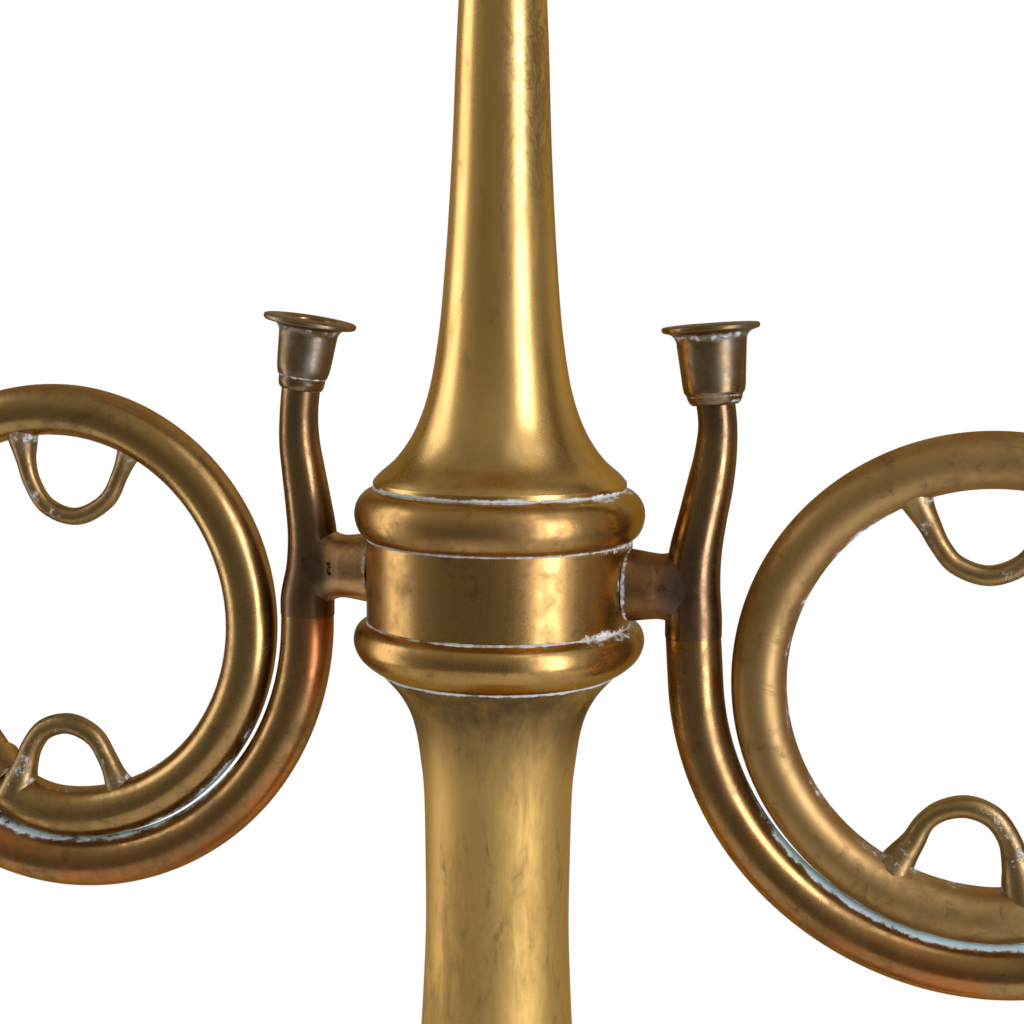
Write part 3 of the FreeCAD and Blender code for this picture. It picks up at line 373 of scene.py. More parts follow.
foot_brass = old_brass(
    "foot_brass", FOOT_GOLD, FOOT_OLIVE, FOOT_BROWN, ageing=0.6, clouds=9, seed=3.0, crust=low_dirt)
foot_shell = lathe("spun_foot", [
    (148, 8.7), (58, 97, [(146, 15), (128, 26), (98, 39), (76, 58), (64, 78)]), (30, 97), (30, 95),
    (56, 95), (146, 8.7, [(62.2, 77.3), (74.6, 56.6), (97.2, 37.2), (127, 24.3), (144.3, 14)]),
], foot_brass, rounds=192)
fit(foot_shell, "stand", "aged_brass", "foot_shell")

rim_round = [(RIM_RADIUS + WIRE_RADIUS * math.cos(math.radians(a)),
              RIM_HEIGHT + WIRE_RADIUS * math.sin(math.radians(a))) for a in range(0, 360, 15)]
rim_wire = lathe("foot_rim_wire_rolled", rim_round, foot_brass, rounds=192)
fit(rim_wire, "stand", "aged_brass", "foot_rim_wire")

foot_collar = lathe("foot_collar_ring", [
    (40, 0), (60, 0), (60, 10, [(64.5, 1.8), (66, 5), (64.5, 8.2)]), (40, 10),
], foot_brass, base=COLLAR_BASE)
fit(foot_collar, "stand", "aged_brass", "foot_collar")

# ------------------------------------------------------------ The lower column
# One long trumpet of spun sheet, rubbed up and down for a century, so the old
# brown tarnish lies in streaks. Its narrow neck opens again under the collar.


def under_lip(skin):
    """Dried polish in the corner under the lowest bead."""
    return skin.z.ramp(0.7264, 0.7283) * 0.95


def neck_shade(skin):
    """Painted shade in the neck under the lowest bead, broken into brown streaks."""
    streaks = skin.noise(34, 5, 0.65, (1, 1, 0.35)).ramp(0.28, 0.60)
    return skin.z.ramp(0.684, 0.722) * (streaks * 0.60 + 0.36)


def rosy_side(skin):
    """Patches gone coppery on the left of the column."""
    patches = skin.noise(12, 4, 0.6, (1, 1, 0.3), (2, 7, 0)).ramp(0.44, 0.64)
    return patches * skin.x.ramp(-0.004, -0.024) * 0.42


# The neck_shade tint is painted shade under the lowest bead.
column_brass = old_brass(
    "column_brass", (0.70, 0.435, 0.116), (0.52, 0.320, 0.086), (0.22, 0.127, 0.041),
    ageing=0.60, gloss=0.49, clouds=24, stretch=(1.3, 1.3, 0.36), seed=7.0,
    tints=[(rosy_side, (0.46, 0.20, 0.070)), (neck_shade, (0.125, 0.080, 0.033))], crust=under_lip)
LOWER_SIDE = [(51, 16), (44, 35), (39.6, 69), (35.6, 147), (32.2, 277), (29.3, 407), (27.9, 480),
              (26.8, 502), (25.9, 525), (26.0, 551), (26.7, 579), (27.7, 588), (29.4, 599), (31.7, 606.5),
              (35.9, 613.8)]
COLUMN_BASE, SPUN_WALL = 107, 1.6
lower_column = lathe("lower_column_spun", [
    (58, 0), (42.6, 621.4, LOWER_SIDE), (41, 621.4),
    (56.4, 0, [(r - SPUN_WALL, h) for r, h in reversed(LOWER_SIDE)]),
], column_brass, base=COLUMN_BASE, rounds=192)
fit(lower_column, "stand", "aged_brass", "lower_column")

# ------------------------------------------------------ Collar: beads and band
# Two cast beads grip a plain band, turned smooth inside to take a cast hub. Old
# polish has dried white in every joint between them.


LOWER_BEAD, BAND, UPPER_BEAD, UPPER_COLUMN = 728.4, 746.0, 775.4, 793.0    # where each piece starts


def collar_joints(skin):
    """Near each of the collar's joints, thickest on the sides where no cloth reaches."""
    line = patch = None
    for height, reach in ((BAND, 0.9), (UPPER_BEAD, 0.8), (LOWER_BEAD, 0.7), (UPPER_COLUMN, 0.6)):
        joint, spill = skin.z.near(height * MM, reach * MM), skin.z.near(height * MM, 5.5 * reach * MM)
        line = joint if line is None else line.most(joint)
        patch = spill if patch is None else patch.most(spill)
    sides = skin.x.ramp(0.018, 0.046) * 0.40 + skin.x.ramp(-0.030, -0.048) * 0.22
    by_arm = skin.x.ramp(0.0425, 0.0462) * skin.z.near(0.7605, 0.015) * 0.55
    return (line * 0.82).most(patch * (sides + 0.20)).most(by_arm)


bead_brass = old_brass(
    "bead_brass", (0.51, 0.285, 0.080), (0.32, 0.176, 0.053), (0.12, 0.066, 0.025),
    ageing=0.55, gloss=0.24, clouds=20, seed=11.0,
    crust=collar_joints)
lower_bead = lathe("lower_bead_turned", [
    (36, 0), (42.6, 0), (46.4, 17.6, [(45.6, 1.8), (49.6, 5.6), (51.4, 10.6), (50.2, 15.2)]), (36, 17.6),
], bead_brass, base=LOWER_BEAD)
fit(lower_bead, "stand", "aged_brass", "lower_bead")
upper_bead = lathe("upper_bead_turned", [
    (36, 0), (46.4, 0), (44, 17.6, [(49.3, 2.6), (51.0, 8), (50.2, 12.6), (47.6, 16)]), (36, 17.6),
], bead_brass, base=UPPER_BEAD)
fit(upper_bead, "stand", "aged_brass", "upper_bead")
band = lathe("collar_band_plain", [(44.6, 0), (46.8, 0), (46.8, 29.4), (44.6, 29.4)], bead_brass,
             base=BAND)
fit(band, "stand", "aged_brass", "collar_band")
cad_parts["hub_block"].data.materials[0] = bead_brass

# ------------------------------------- The upper column and the guide tube in it
# A short trumpet spun to a slender neck and kept bright. Inside, a steel tube on
# a screwed flange guides the desk rod.


def upper_foot(skin):
    return skin.z.ramp(0.7955, 0.7930) * 0.9


def lip_brown(skin):
    return skin.z.ramp(0.835, 0.800) * (0.35 + 0.5 * skin.noise(26, 5, 0.6).ramp(0.4, 0.7))


def vein_stain(skin):
    """Mottled veins of brown where a hand has held the neck."""
    veins = skin.noise(110, 5, 0.7, (1, 1, 0.55), warp=1.2).near(0.5, 0.055)
    return veins * skin.z.ramp(0.865, 0.93) * skin.x.ramp(0.001, 0.009) * 0.70


upper_brass = old_brass(
    "upper_column_brass", (0.77, 0.465, 0.132), (0.57, 0.337, 0.095), (0.24, 0.135, 0.044),
    ageing=0.32, gloss=0.25, clouds=12, stretch=(1.2, 1.2, 0.5), seed=5.0,
    tints=[(lip_brown, (0.36, 0.22, 0.075)), (vein_stain, (0.34, 0.185, 0.070))], crust=upper_foot)
UPPER_SIDE = [(42.6, 4.6), (36.4, 10.2), (30.4, 19), (25.6, 31.4), (21.9, 51), (19.3, 79), (17.2, 114),
              (15.8, 150)]
upper_column = lathe("upper_column_spun", [
    (44.5, 0), (44.5, 2.4), (15, 166.5, UPPER_SIDE), (13.4, 166.5),
    (42.3, 0, [(r - SPUN_WALL, h - 0.8) for r, h in reversed(UPPER_SIDE)]),
], upper_brass, base=UPPER_COLUMN, rounds=192)
fit(upper_column, "stand", "aged_brass", "upper_column")
for name in ("guide_tube", "flange_screws"):
    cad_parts[name].data.materials[0] = dull_steel

# ----------------------------------------- Top ferrule, bush and height thumbscrew
# A turned ferrule with two beads closes the neck. A brass bush lines it, and a
# thumbscrew in a side boss presses a small pad on the desk rod.


def refined(node, finish, width=0.35, segments=2):
    """A merged, smooth copy of a CAD node with its hard edges broken."""
    shape = bmesh.new()
    shape.from_mesh(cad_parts[node].data)
    bmesh.ops.remove_doubles(shape, verts=shape.verts, dist=0.002 * MM)
    bmesh.ops.dissolve_limit(shape, angle_limit=math.radians(0.5), verts=shape.verts, edges=shape.edges,
                             delimit={"NORMAL"})
    bmesh.ops.triangulate(shape, faces=[face for face in shape.faces if len(face.verts) > 4])
    hard = [edge for edge in shape.edges
            if len(edge.link_faces) == 2 and edge.calc_face_angle() > math.radians(40)]
    bmesh.ops.bevel(shape, geom=hard, offset=width * MM, segments=segments, profile=0.5, affect="EDGES",
                    clamp_overlap=True)
    mesh = bpy.data.meshes.new(node + "_finished")
    shape.to_mesh(mesh)
    shape.free()
    mesh.materials.clear()
    mesh.materials.append(finish)
    mesh.shade_smooth()
    mesh.set_sharp_from_angle(angle=math.radians(35))
    piece = bpy.data.objects.new(node + "_finished", mesh)
    bpy.context.scene.collection.objects.link(piece)
    return piece


FERRULE_BASE, THUMBSCREW_HEIGHT = 959.5, 0.9865


def ferrule_joint(skin):
    """Polish where the ferrule meets the neck."""
    return skin.z.near(0.9597, 0.0012) * 0.75


ferrule_brass = old_brass(
    "ferrule_brass", (0.66, 0.42, 0.13), (0.44, 0.28, 0.09), (0.20, 0.12, 0.045),
    ageing=0.45, gloss=0.24, clouds=30, seed=13.0,
    crust=ferrule_joint)
ferrule = lathe("top_ferrule_turned", [
    (11, 0), (13.6, 0), (13.6, 4), (12.4, 14, [(16.3, 6.6), (15.6, 10.4)]), (12.4, 34),
    (12.4, 43, [(15.0, 37.2), (15.2, 40.8)]), (9.2, 44), (9.2, 11), (11, 11),
], ferrule_brass, base=FERRULE_BASE, rounds=96)
fit(ferrule, "stand", "aged_brass", "top_ferrule")
boss_turn = Matrix.Translation((0, 0, THUMBSCREW_HEIGHT)) @ Matrix.Rotation(math.pi / 2, 4, "Y")
clamp_boss = lathe("clamp_boss", [(3, 11), (6, 11), (6, 18.5), (3, 18.5)], ferrule_brass,
                   rounds=64, place=boss_turn)
fit(clamp_boss, "stand", "aged_brass")
for name in ("rod_bush", "clamp_pad"):
    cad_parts[name].data.materials[0] = ferrule_brass
thumbscrew = refined("height_thumbscrew", ferrule_brass, 0.5, 3)
fit(thumbscrew, "height_screw", "desk_brass", "height_thumbscrew")

# --------------------------------------------------------- The two hunting horns
# Each horn is a tube coiled by hand: a lead pipe, an outer coil, an inner loop
# that runs on into a throat, and a flared bell. An arm ties it to the collar.

HORNS = {
    "left": dict(side=-1, loop=(171.5, -21.3), arm=2.3, lean=1.5, cup=(70.3, 91.1), cup_lean=9.0, seam=70.6,
                 lead=[(72.2, -10), (70.4, 1), (70.2, 13), (71.7, 25), (73.4, 36), (74.9, 47), (75.0, 57)],
                 thick=[9.8, 9.4, 8.9, 8.3, 7.8, 7.3, 6.9], top=6.9,
                 cup_wall=[(7.4, 0), (8.0, 0.8), (8.3, 2.6), (8.4, 4.2), (9.0, 5.2), (9.5, 7.4), (9.8, 10.5),
                           (10.3, 17.8)]),
    "right": dict(side=1, loop=(169.5, -28.8), arm=0.8, lean=4.0, cup=(73.0, 91.1), cup_lean=4.7, seam=68.5,
                  lead=[(69.3, -10), (68.7, 1), (69.5, 13), (71.7, 25), (74.0, 36.4), (75.7, 47), (76.2, 57)],
                  thick=[9.8, 9.6, 9.0, 8.3, 7.9, 7.2, 6.6], top=6.6,
                  cup_wall=[(7.9, -1.6), (8.7, -0.8), (9.3, 0.6), (9.6, 1.8), (10.3, 2.7), (10.7, 5),
                            (10.9, 8), (11.7, 17.8)]),
}
# each ring is a run of (outwards, above the arms, thickness)
FINGER_RINGS = {
    "left": {
        "upper": [(137.6, 49.5, 8), (140.8, 43.2, 5.8), (143.4, 38.2, 3.9), (146.2, 32.2, 3.1),
                  (151.6, 22.6, 3.2), (164.4, 15.9, 3.3), (176.6, 19.6, 3.3), (182.6, 28.5, 3.3),
                  (184.6, 36.0, 3.7), (185.4, 42.0, 5.0), (186.4, 52.0, 7.6)],
        "lower": [(146.0, -94.0, 8), (148.6, -88.0, 6.2), (151.2, -82.4, 4.3), (154.2, -76.0, 3.7),
                  (159.2, -68.4, 3.8), (169.5, -64.1, 4.0), (180.3, -67.2, 4.0),
                  (186.0, -74.5, 4.1), (188.8, -82.0, 4.9), (190.6, -87.0, 6.4), (193.0, -93.5, 8)],
    },
    "right": {
        "upper": [(138.8, 41.5, 8), (141.6, 36.6, 6.6), (144.2, 31.4, 4.9), (147.2, 26.2, 3.9),
                  (150.8, 19.6, 3.4), (156.2, 13.3, 3.4), (167.0, 10.0, 3.5), (177.5, 14.2, 3.5),
                  (183.5, 22.0, 3.6), (187.0, 29.5, 4.4), (189.0, 35.0, 6.0), (192.0, 44.5, 8)],
        "lower": [(136.0, -98.2, 8.2), (139.2, -93.2, 7), (142.2, -87.8, 5.4), (146.0, -81.8, 4.1),
                  (149.2, -75.6, 3.5), (154.5, -71.0, 3.6), (163.2, -68.8, 3.9),
                  (171.8, -71.8, 3.9), (177.2, -79.0, 3.9), (179.8, -87.5, 4.9),
                  (181.2, -93.5, 6.2), (184.0, -104.5, 8)],
    },
}
# radii of the loop and of the coil, and the height of the seam
LOOP, REACH, SEAM = 77.2, 96.5, -16.0
OUTER = (REACH + LOOP) / 2
TUBE = 9.525
# the throat's bend leaves the loop turning up and leaning back, and ends in the bell
THROAT_RADIUS, THROAT_TURN, THROAT_LEAN = 50, 40, 35
BELL_RADIUS, BELL_LENGTH, BELL_WIRE, BELL_WALL = 54, 148, 1.8, 1.1
# how far past its mouth the bell's curve would open without end
PAST_MOUTH = 16
# how far out the braze begins to spread
BRAZE_START = 56

bent_tube = bpy.data.node_groups.new("bent_tube", "GeometryNodeTree")
bent_tube.interface.new_socket("Rail", in_out="INPUT", socket_type="NodeSocketGeometry")
sides_in = bent_tube.interface.new_socket("Sides", in_out="INPUT", socket_type="NodeSocketInt")
finish_in = bent_tube.interface.new_socket("Finish", in_out="INPUT", socket_type="NodeSocketMaterial")
bent_tube.interface.new_socket("Tube", in_out="OUTPUT", socket_type="NodeSocketGeometry")


def grow(tree, kind, settings, links):
    """Add a Geometry node with its settings, and link or set its sockets."""
    made = tree.nodes.new(kind)
    for key, value in settings.items():
        setattr(made, key, value)
    for key, value in links.items():
        socket = next(s for s in made.inputs if key in (s.name, s.identifier) and s.enabled)
        if isinstance(value, bpy.types.NodeSocket):
            tree.links.new(value, socket)
        else:
            socket.default_value = value
    return made.outputs[0] if made.outputs else None


entry = bent_tube.nodes.new("NodeGroupInput")
rail = grow(bent_tube, "GeometryNodeMeshToCurve", {}, {"Mesh": entry.outputs["Rail"]})
hoop = grow(bent_tube, "GeometryNodeCurvePrimitiveCircle", {}, {
    "Resolution": entry.outputs["Sides"], "Radius": 1.0})
thickness = grow(bent_tube, "GeometryNodeInputNamedAttribute", {"data_type": "FLOAT"}, {"Name": "thick"})
skin_of_tube = grow(bent_tube, "GeometryNodeCurveToMesh", {}, {
    "Curve": rail, "Profile Curve": hoop, "Scale": thickness, "Fill Caps": True})
finished = grow(bent_tube, "GeometryNodeSetMaterial", {}, {
    "Geometry": skin_of_tube, "Material": entry.outputs["Finish"]})
grow(bent_tube, "NodeGroupOutput", {}, {
    "Tube": grow(bent_tube, "GeometryNodeRealizeInstances", {}, {"Geometry": finished})})


def bent(name, path, thick, finish, sides=48):
    """A round bar or closed tube bent along a path, with its own thickness at each point."""
    mesh = bpy.data.meshes.new(name)
    mesh.from_pydata(path, [(k, k + 1) for k in range(len(path) - 1)], [])
    mesh.attributes.new("thick", "FLOAT", "POINT").data.foreach_set("value", [t * MM for t in thick])
    piece = bpy.data.objects.new(name, mesh)
    bpy.context.scene.collection.objects.link(piece)
    bender = piece.modifiers.new("bent_tube", "NODES")
    bender.node_group = bent_tube
    bender[sides_in.identifier], bender[finish_in.identifier] = sides, finish
    plain = bpy.data.meshes.new_from_object(piece.evaluated_get(bpy.context.evaluated_depsgraph_get()))
    piece.modifiers.remove(bender)
    piece.data = plain
    plain.name = name
    tidy = bmesh.new()
    tidy.from_mesh(plain)
    bmesh.ops.recalc_face_normals(tidy, faces=tidy.faces)
    tidy.to_mesh(plain)
    tidy.free()
    plain.shade_smooth()
    plain.set_sharp_from_angle(angle=math.radians(40))
    return piece


def at(side, u, h, y=0.0):
    """A point u outwards and h up from the middle of the collar, y behind it."""
    return Vector((side * u * MM, y * MM, MIDDLE + h * MM))


def arc(side, centre, radius, start, end, lean=0.0):
    """Points on an arc between clock angles from straight down, growing outwards."""
    count = max(4, int(abs(end - start) * radius / 130))
    points = []
    for step in range(count + 1):
        angle = math.radians(start + (end - start) * step / count)
        drop = radius * (1 - math.cos(angle))
        points.append(at(side, centre[0] + radius * math.sin(angle),
                         centre[1] - radius + drop * math.cos(math.radians(lean)),
                         drop * math.sin(math.radians(lean))))
    return points


def joined(*runs):
    path = [runs[0][0]]
    for run in runs:
        path += [point for point in run if (point - path[-1]).length > 0.3 * MM]
    return path


def hand_bent(path, size):
    """Nearly even thickness: a hand bent tube swells and thins a little."""
    return [size * (1 + 0.004 * math.sin(k * 0.21) + 0.003 * math.sin(k * 0.083 + 1))
            for k in range(len(path))]


def off_centre(skin, side, centre):
    """The distance from a horn's centre, as seen from the front."""
    across = skin.x - side * centre[0] * MM
    rise = skin.z - (MIDDLE + centre[1] * MM)
    return (across * across + rise * rise).math("SQRT")


def facing(skin, side, centre, radius, reach):
    """Near the cylinder about a horn's centre where its two coils touch."""
    touching = off_centre(skin, side, centre).near(radius * MM, reach * MM)
    return touching * skin.y.math("ABSOLUTE").ramp(0.0085, 0.003)


COPPER, SOOT, VERDIGRIS = (0.56, 0.185, 0.050), (0.150, 0.090, 0.047), (0.74, 0.90, 0.84)

for hand, horn in HORNS.items():
    side, (a, c) = horn["side"], horn["loop"]
    lean = math.radians(horn["lean"])
    thick_verdigris = 0.60 if side > 0 else 0.42

    def crevice(skin):
        """Verdigris in the groove between the coils, thickest under the bell."""
        lower = skin.z.ramp(MIDDLE - 0.050, MIDDLE - 0.085) * 0.30 + thick_verdigris
        groove = (facing(skin, side, (a, c), 87.0, 4.2) * lower
                  * skin.z.ramp(MIDDLE - 0.020, MIDDLE - 0.045))
        inside = facing(skin, side, (a, c), 68.0, 3.0) * 0.41
        return groove.most(inside)

    def copper_edge(skin):
        """The zinc has gone from patches low down and on the front, which are copper red."""
        low = (skin.z - (MIDDLE - 0.080)).ramp(0.02, -0.03)
        patch = skin.noise(22, 5, 0.65, (1, 1, 1), (side, 0, 4)).ramp(0.50, 0.68)
        return patch * (low * 0.5 + 0.28 * skin.y.ramp(0.004, -0.006))

    def coil_copper(skin):
        """Copper on the side of the coil that faces out and down."""
        patch = skin.noise(26, 5, 0.6, (1, 1, 1), (4, side, 0)).ramp(0.38, 0.62)
        outermost = off_centre(skin, side, (a, c)).ramp(0.0985, 0.1055)
        return outermost * patch * (0.75 if side < 0 else 0.30)

    def edge_shade_and_copper(skin):
        """A browner line of painted shade along the inside and the outside of the loop, with coppery patches.
        """
        off_line = (off_centre(skin, side, (a, c)) - LOOP * MM).math("ABSOLUTE")
        patch = skin.noise(30, 5, 0.6, (1, 1, 1), (2, side, 2)).ramp(0.35, 0.6)
        return off_line.ramp(0.0055, 0.0092) * patch * 0.55

    def smudge(skin):
        return skin.noise(15, 6, 0.68, (1, 1, 1), (side, 5, 1), 0.5).ramp(0.52, 0.70) * 0.60

    coil_brass = old_brass(
        f"{hand}_coil_brass", (0.43, 0.240, 0.074), (0.24, 0.134, 0.045), (0.085, 0.048, 0.021),
        ageing=0.70, gloss=0.20, clouds=22, seed=17.0 + side,
        tints=[(coil_copper, COPPER), (copper_edge, COPPER)], crust=crevice, chalk=VERDIGRIS)
    # The loop's edge tint paints shade along both sides of its tube, in coppery patches.
    loop_brass = old_brass(
        f"{hand}_loop_brass", (0.48, 0.290, 0.092), (0.32, 0.192, 0.062), (0.105, 0.062, 0.025),
        ageing=0.60, gloss=0.21 if side < 0 else 0.43, clouds=22, seed=23.0 + side,
        tints=[(smudge, (0.10, 0.064, 0.030)), (edge_shade_and_copper, (0.36, 0.165, 0.058))],
        crust=crevice, chalk=VERDIGRIS)

    # outer coil, from the seam round the bottom and half way up the outer side
    bottom = c - REACH
    reach = a - horn["seam"] - 1.8
    arc_start = (a - reach * math.cos(lean), bottom + reach - reach * math.sin(lean))
    run = (SEAM - arc_start[1]) / math.cos(lean)
    seam = (arc_start[0] - run * math.sin(lean), SEAM)
    straight = [at(side, *(low + (high - low) * k / 8 for low, high in zip(seam, arc_start)))
                for k in range(9)]
    coil_path = joined(straight, arc(side, (a, bottom + reach), reach, -90 + horn["lean"], 0),
                       arc(side, (a, c - (REACH - LOOP) / 2), OUTER, 0, 90))
    coil = bent(f"{hand}_outer_coil_tube", coil_path, hand_bent(coil_path, TUBE), coil_brass)
    fit(coil, "stand", "horn_brass", f"{hand}_outer_coil")

    # inner loop, over the top, down beside the column and into the throat
    loop_path = joined(arc(side, (a, c - (REACH - LOOP) / 2), OUTER, 90, 180),
                       arc(side, (a, c), LOOP, 180, 360),
                       arc(side, (a, c - LOOP + THROAT_RADIUS), THROAT_RADIUS, 0, THROAT_TURN, THROAT_LEAN))
    loop = bent(f"{hand}_inner_loop_tube", loop_path, hand_bent(loop_path, TUBE), loop_brass)
    fit(loop, "stand", "horn_brass", f"{hand}_inner_loop")

    # bell, hammered thin and rolled over a wire at its mouth, and its brace
    bend, back = math.radians(THROAT_TURN), math.radians(THROAT_LEAN)
    aim = Vector((side * math.cos(bend), math.sin(bend) * math.sin(back),
                  math.sin(bend) * math.cos(back)))
    to_bell = Matrix.Translation(loop_path[-1]) @ aim.to_track_quat("Z", "Y").to_matrix().to_4x4()
    horizon = BELL_LENGTH + PAST_MOUTH
    flare = math.log(BELL_RADIUS / TUBE) / math.log(horizon / PAST_MOUTH)
    bell_side = [(BELL_RADIUS * (PAST_MOUTH / (horizon - h)) ** flare, h)
                 for h in (41, 74, 100, 118, 130, 139, 144)]
    bell = lathe(f"{hand}_bell_flare", [
        (TUBE, 0), (BELL_RADIUS, BELL_LENGTH, bell_side), (52.8, BELL_LENGTH),
        (TUBE - 1.2, 0, [(r - BELL_WALL, h + 0.5) for r, h in reversed(bell_side)]),
    ], loop_brass, place=to_bell, rounds=128)
    fit(bell, "stand", "horn_brass", f"{hand}_bell")
    wire_round = [(BELL_RADIUS + BELL_WIRE * math.cos(math.radians(g)),
                   147.4 + BELL_WIRE * math.sin(math.radians(g))) for g in range(0, 360, 24)]
    bell_wire = lathe(f"{hand}_bell_rim", wire_round, loop_brass, place=to_bell, rounds=128)
    fit(bell_wire, "stand", "horn_brass", f"{hand}_bell_wire")
    sleeve_shape = [(TUBE - 0.2, -7.5), (10.8, -7.5), (11.4, -6), (11.1, -4.6), (11.1, 4.6), (11.4, 6),
                    (10.8, 7.5), (TUBE - 0.2, 7.5)]
    upright = Matrix.Translation(at(side, a + OUTER, c - (REACH - LOOP) / 2))
    for number, place in enumerate((to_bell, upright), start=1):
        sleeve = lathe(f"{hand}_horn_sleeve_{number}", sleeve_shape, coil_brass, place=place, rounds=80)
        fit(sleeve, "stand", "horn_brass", f"{hand}_horn_sleeves")
    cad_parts[f"{hand}_bell_brace"].data.materials[0] = coil_brass

    # lead pipe, drawn to a taper and slightly bowed, browned by hands
    def blackened(skin):
        """Soot brown where the arm is brazed on, and again in patches under the cup."""
        rise = skin.z - MIDDLE
        patch = skin.noise(40, 6, 0.65, (1, 1, 1), (0, side, 9))
        return (rise.near(0.002, 0.036) * (0.25 + patch * 0.9)
                + (rise.ramp(0.045, 0.062) * patch.ramp(0.42, 0.6)) * 0.7)

    def worn_gold(skin):
        return skin.noise(30, 4, 0.6, (1, 1, 0.4), (side * 3, 2, 0)).ramp(0.56, 0.72) * 0.5

    def pipe_chalk(skin):
        """Polish left under the brazed arm."""
        out = skin.x.math("ABSOLUTE")
        arm = out.ramp(0.0650, 0.0630) * (skin.z - MIDDLE).near(-0.008, 0.008)
        return arm * 0.45

    pipe_brass = old_brass(
        f"{hand}_lead_brass", (0.36, 0.205, 0.075), (0.215, 0.122, 0.046), (0.085, 0.050, 0.023),
        ageing=0.75, gloss=0.19, clouds=26, seed=29.0 + side,
        tints=[(worn_gold, (0.36, 0.20, 0.07)), (blackened, SOOT)], crust=pipe_chalk)
    cup_lean = math.radians(horn["cup_lean"])
    socket = (horn["cup"][0] + 23.5 * math.sin(cup_lean), horn["cup"][1] - 23.5 * math.cos(cup_lean))
    drawn_run = smooth_run([(*seam, 9.775)]
                           + [(u, h, t) for (u, h), t in zip(horn["lead"], horn["thick"])]
                           + [(*socket, horn["top"])], 9)
    pipe = bent(f"{hand}_lead_pipe_drawn", [at(side, u, h) for u, h, t in drawn_run],
                [t for u, h, t in drawn_run], pipe_brass)
    fit(pipe, "stand", "horn_brass", f"{hand}_lead_pipe")

    # arm: a turned stub, brazed to the pipe in a thick fillet
    def arm_chalk(skin):
        out = skin.x.math("ABSOLUTE")
        return out.ramp(0.0486, 0.0466) * 0.60

    def arm_pits(skin):
        """Small pits, and on the left arm a blowhole in the braze."""
        pits = skin.noise(150, 4, 0.7).ramp(0.62, 0.68) * 0.5
        hole = ((skin.x + 0.0602).near(0.0, 0.0034) * (skin.z - MIDDLE).near(0.0025, 0.0070)
                * skin.y.ramp(-0.004, -0.007))
        ragged = hole * 0.9 + (skin.noise(380, 5, 0.75) - 0.5) * 2.4
        return pits.most(ragged.ramp(0.62, 0.80) * hole.ramp(0.05, 0.25))

    def braze_soot(skin):
        patch = skin.noise(60, 5, 0.65, (1, 1, 1), (0, side, 7)) - 0.5
        return (skin.x.math("ABSOLUTE") + patch * 0.012).ramp(0.0595 if side < 0 else 0.0560, 0.0645)

    arm_tones = {"left": [(0.58, 0.315, 0.125), (0.42, 0.225, 0.088), (0.15, 0.082, 0.038)],
                 "right": [(0.35, 0.172, 0.052), (0.22, 0.108, 0.036), (0.090, 0.047, 0.019)]}[hand]
    arm_brass = old_brass(
        f"{hand}_arm_brass", *arm_tones,
        ageing=0.80, gloss=0.25, clouds=45, seed=31.0 + side,
        tints=[(braze_soot, SOOT), (arm_pits, (0.02, 0.014, 0.010))], crust=arm_chalk)
    to_arm = (Matrix.Translation((0, 0, MIDDLE + horn["arm"] * MM))
              @ Matrix.Rotation(side * math.pi / 2, 4, "Y"))
    pipe_out, pipe_thick = horn["lead"][1][0] + 0.4, horn["thick"][1] - 0.04
    stub = lathe(f"{hand}_arm_stub", [
        (0, 30), (5, 30), (5, 45.8), (12.7, 45.8), (12.4, 48.8),
        (19, pipe_out, [(11.6, 54.5), (11.35, 57.5), (11.8, 60.2), (13.1, 62.8), (15.8, 66)]),
        (0, pipe_out),
    ], arm_brass, place=to_arm, ease=0.6, rounds=96)
    for vertex in stub.data.vertices:
        along = abs(vertex.co.x) / MM
        if along > BRAZE_START:
            spread = math.hypot(vertex.co.y, vertex.co.z - MIDDLE - horn["arm"] * MM)
            left_over = max(0, 1 - (along - BRAZE_START) / (pipe_out - BRAZE_START))
            flat = (pipe_thick + (11.5 - pipe_thick) * left_over ** 2) * MM
            vertex.co.y *= min(1, flat / max(spread, MM))
    fit(stub, "stand", "horn_brass", f"{hand}_horn_arm")

    # mouthpiece: a deep cup with a flat turned rim
    cup_base = Matrix.Translation(at(side, horn["cup"][0] + 25.5 * math.sin(cup_lean),
                                     horn["cup"][1] - 25.5 * math.cos(cup_lean)))
    to_cup = cup_base @ Matrix.Rotation(-side * cup_lean, 4, "Y")

    def cup_chalk(skin):
        """Dried polish under the overhanging rim and round the cup's foot."""
        tilt = side * math.tan(math.radians(horn["cup_lean"]))
        rise = skin.z - (MIDDLE + 0.0906) - (skin.x - side * horn["cup"][0] * MM) * tilt
        under = rise.near(-0.0035, 0.0030) * 0.56
        step = rise.near(-0.0208 if side < 0 else -0.0236, 0.0011) * 0.56
        return under.most(step).most(rise.near(-0.0255, 0.0014) * 0.5)

    def cup_haze(skin):
        """A grey bloom on the front of the cup."""
        return (skin.noise(60, 6, 0.7, (1, 1, 1), (side, 1, 8)).ramp(0.40, 0.70)
                * skin.y.ramp(0.0, -0.008) * (0.60 if side < 0 else 0.25))

    def cup_dark(skin):
        return skin.noise(55, 5, 0.65, (1, 1, 1), (side, 6, 0)).ramp(0.35, 0.65) * 0.6

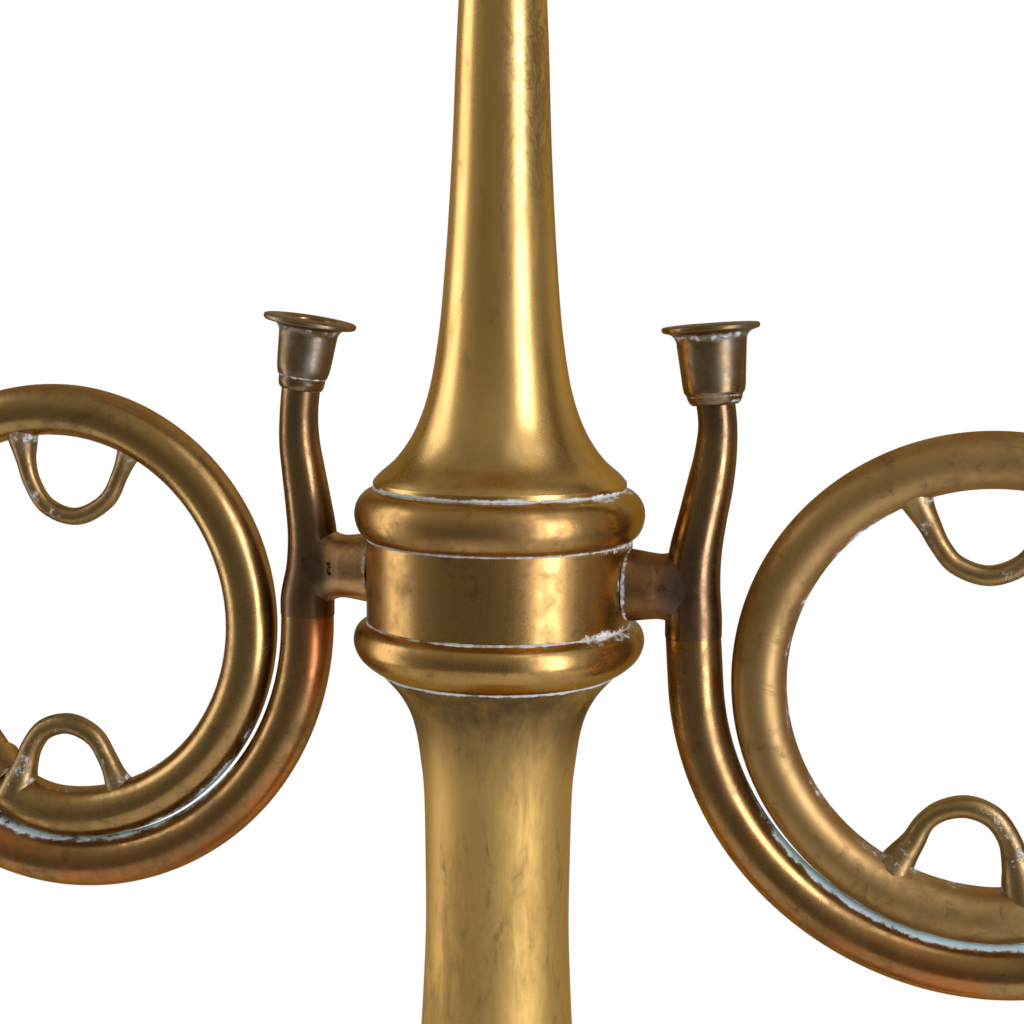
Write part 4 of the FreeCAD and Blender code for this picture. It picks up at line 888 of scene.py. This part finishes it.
    cup_brass = old_brass(
        f"{hand}_cup_brass", (0.34, 0.205, 0.070), (0.22, 0.135, 0.048), (0.090, 0.057, 0.026),
        ageing=0.70, gloss=0.23, clouds=40, seed=37.0 + side,
        tints=[(cup_dark, (0.15, 0.095, 0.038)), (cup_haze, (0.34, 0.33, 0.26))], crust=cup_chalk)
    top, wall = horn["top"], horn["cup_wall"]
    cup = lathe(f"{hand}_mouthpiece_cup", [
        (2.6, wall[0][1]), (top + 0.4, wall[0][1]), *wall,
        (15.8, 23.3, [(wall[-1][0] + 0.35, 20.6), (wall[-1][0] + 1.6, 22.4)]),
        (16.5, 23.7), (16.6, 24.9), (16.0, 25.4), (10.1, 25.8, [(13, 25.7)]), (8.6, 24.9),
        (2.6, 9, [(7.8, 18.5), (5.4, 12.6)]),
    ], cup_brass, place=to_cup, ease=0.35, rounds=128)
    fit(cup, "stand", "dark_brass", f"{hand}_mouthpiece")

    # finger rings, cast with feet that thicken where they meet the tubes
    def ring_chalk(skin):
        """Polish in the corners where the feet meet the tube, and thinly on the front."""
        trough = skin.y.ramp(-0.0012, -0.0030) * 0.36
        return (facing(skin, side, (a, c), 67.5, 5.0) * 0.56).most(trough)

    ring_brass = old_brass(
        f"{hand}_ring_brass", (0.40, 0.250, 0.084), (0.26, 0.163, 0.056), (0.100, 0.062, 0.026),
        ageing=0.65, gloss=0.32, clouds=50, seed=41.0 + side,
        crust=ring_chalk)
    for level_name, points in FINGER_RINGS[hand].items():
        run = smooth_run(points, 6)
        ring = bent(f"{hand}_{level_name}_finger_ring_cast", [at(side, u, h) for u, h, t in run],
                    [t for u, h, t in run], ring_brass, sides=16)
        fit(ring, "stand", "horn_brass", f"{hand}_{level_name}_finger_ring")

# --------------------------------------------------- Desk rod, yoke and tilt joint
# The desk's rod slides in the ferrule. A yoke turns on its tip, and a bolt with
# fibre washers and a wing nut holds the desk's bracket at its tilt.

desk_brass = old_brass(
    "desk_brass", (0.66, 0.43, 0.14), (0.46, 0.30, 0.10), (0.22, 0.135, 0.05),
    ageing=0.5, gloss=0.27, clouds=9, seed=43.0)
rod_brass = old_brass(
    "rod_brass", (0.72, 0.47, 0.15), (0.52, 0.34, 0.11), (0.24, 0.15, 0.055),
    ageing=0.4, gloss=0.20, clouds=20, stretch=(1, 1, 0.2), seed=47.0)
rod = lathe("desk_rod_drawn", [
    (0, 0), (5.35, 0), (6.35, 1), (6.35, 213), (4.5, 213), (4.5, 221), (3.6, 221), (3.6, 225), (4.5, 225),
    (4.5, 233), (0, 233),
], rod_brass, base=872, ease=0.3, rounds=72)
fit(rod, "rod", "desk_brass", "desk_rod")
for node, body in (("swivel_yoke", "yoke"), ("tilt_bracket", "desk"), ("tilt_bolt", "desk"),
                   ("tilt_wing_nut", "wing_nut")):
    fit(refined(node, desk_brass, 0.4), body, "desk_brass", node)
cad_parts["swivel_screw"].data.materials[0] = dull_steel
fibre = Recipe(bpy.data.materials.new("red_fibre"))
pressed = fibre.noise(500, 5, 0.7, (0.2, 1, 1))
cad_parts["tilt_washers"].data.materials[0] = fibre.surface(
    fibre.blend((0.16, 0.035, 0.022), (0.24, 0.065, 0.035), pressed),
    0.62 + pressed * 0.15, 0.0, pressed, 0.05 * MM)

# ------------------------------------------------------ Desk, ledge and page holders
# Sheet brass, pierced with two harps and a row of strings, with an arched top. A
# folded ledge is riveted along its foot, and two arms hold the pages open.

for node, body, width in (("desk_plate", "desk", 0.35), ("desk_ledge", "desk", 0.4),
                          ("page_holder_left", "left_page_holder", 0.3),
                          ("page_holder_right", "right_page_holder", 0.3),
                          ("page_holder_screws", "desk", 0.35)):
    fit(refined(node, desk_brass, width), body, "desk_brass", node)
for node in ("ledge_rivets", "bracket_rivets"):
    fit(refined(node, rod_brass, 0.15), "desk", "desk_brass", node)

bpy.context.view_layer.update()
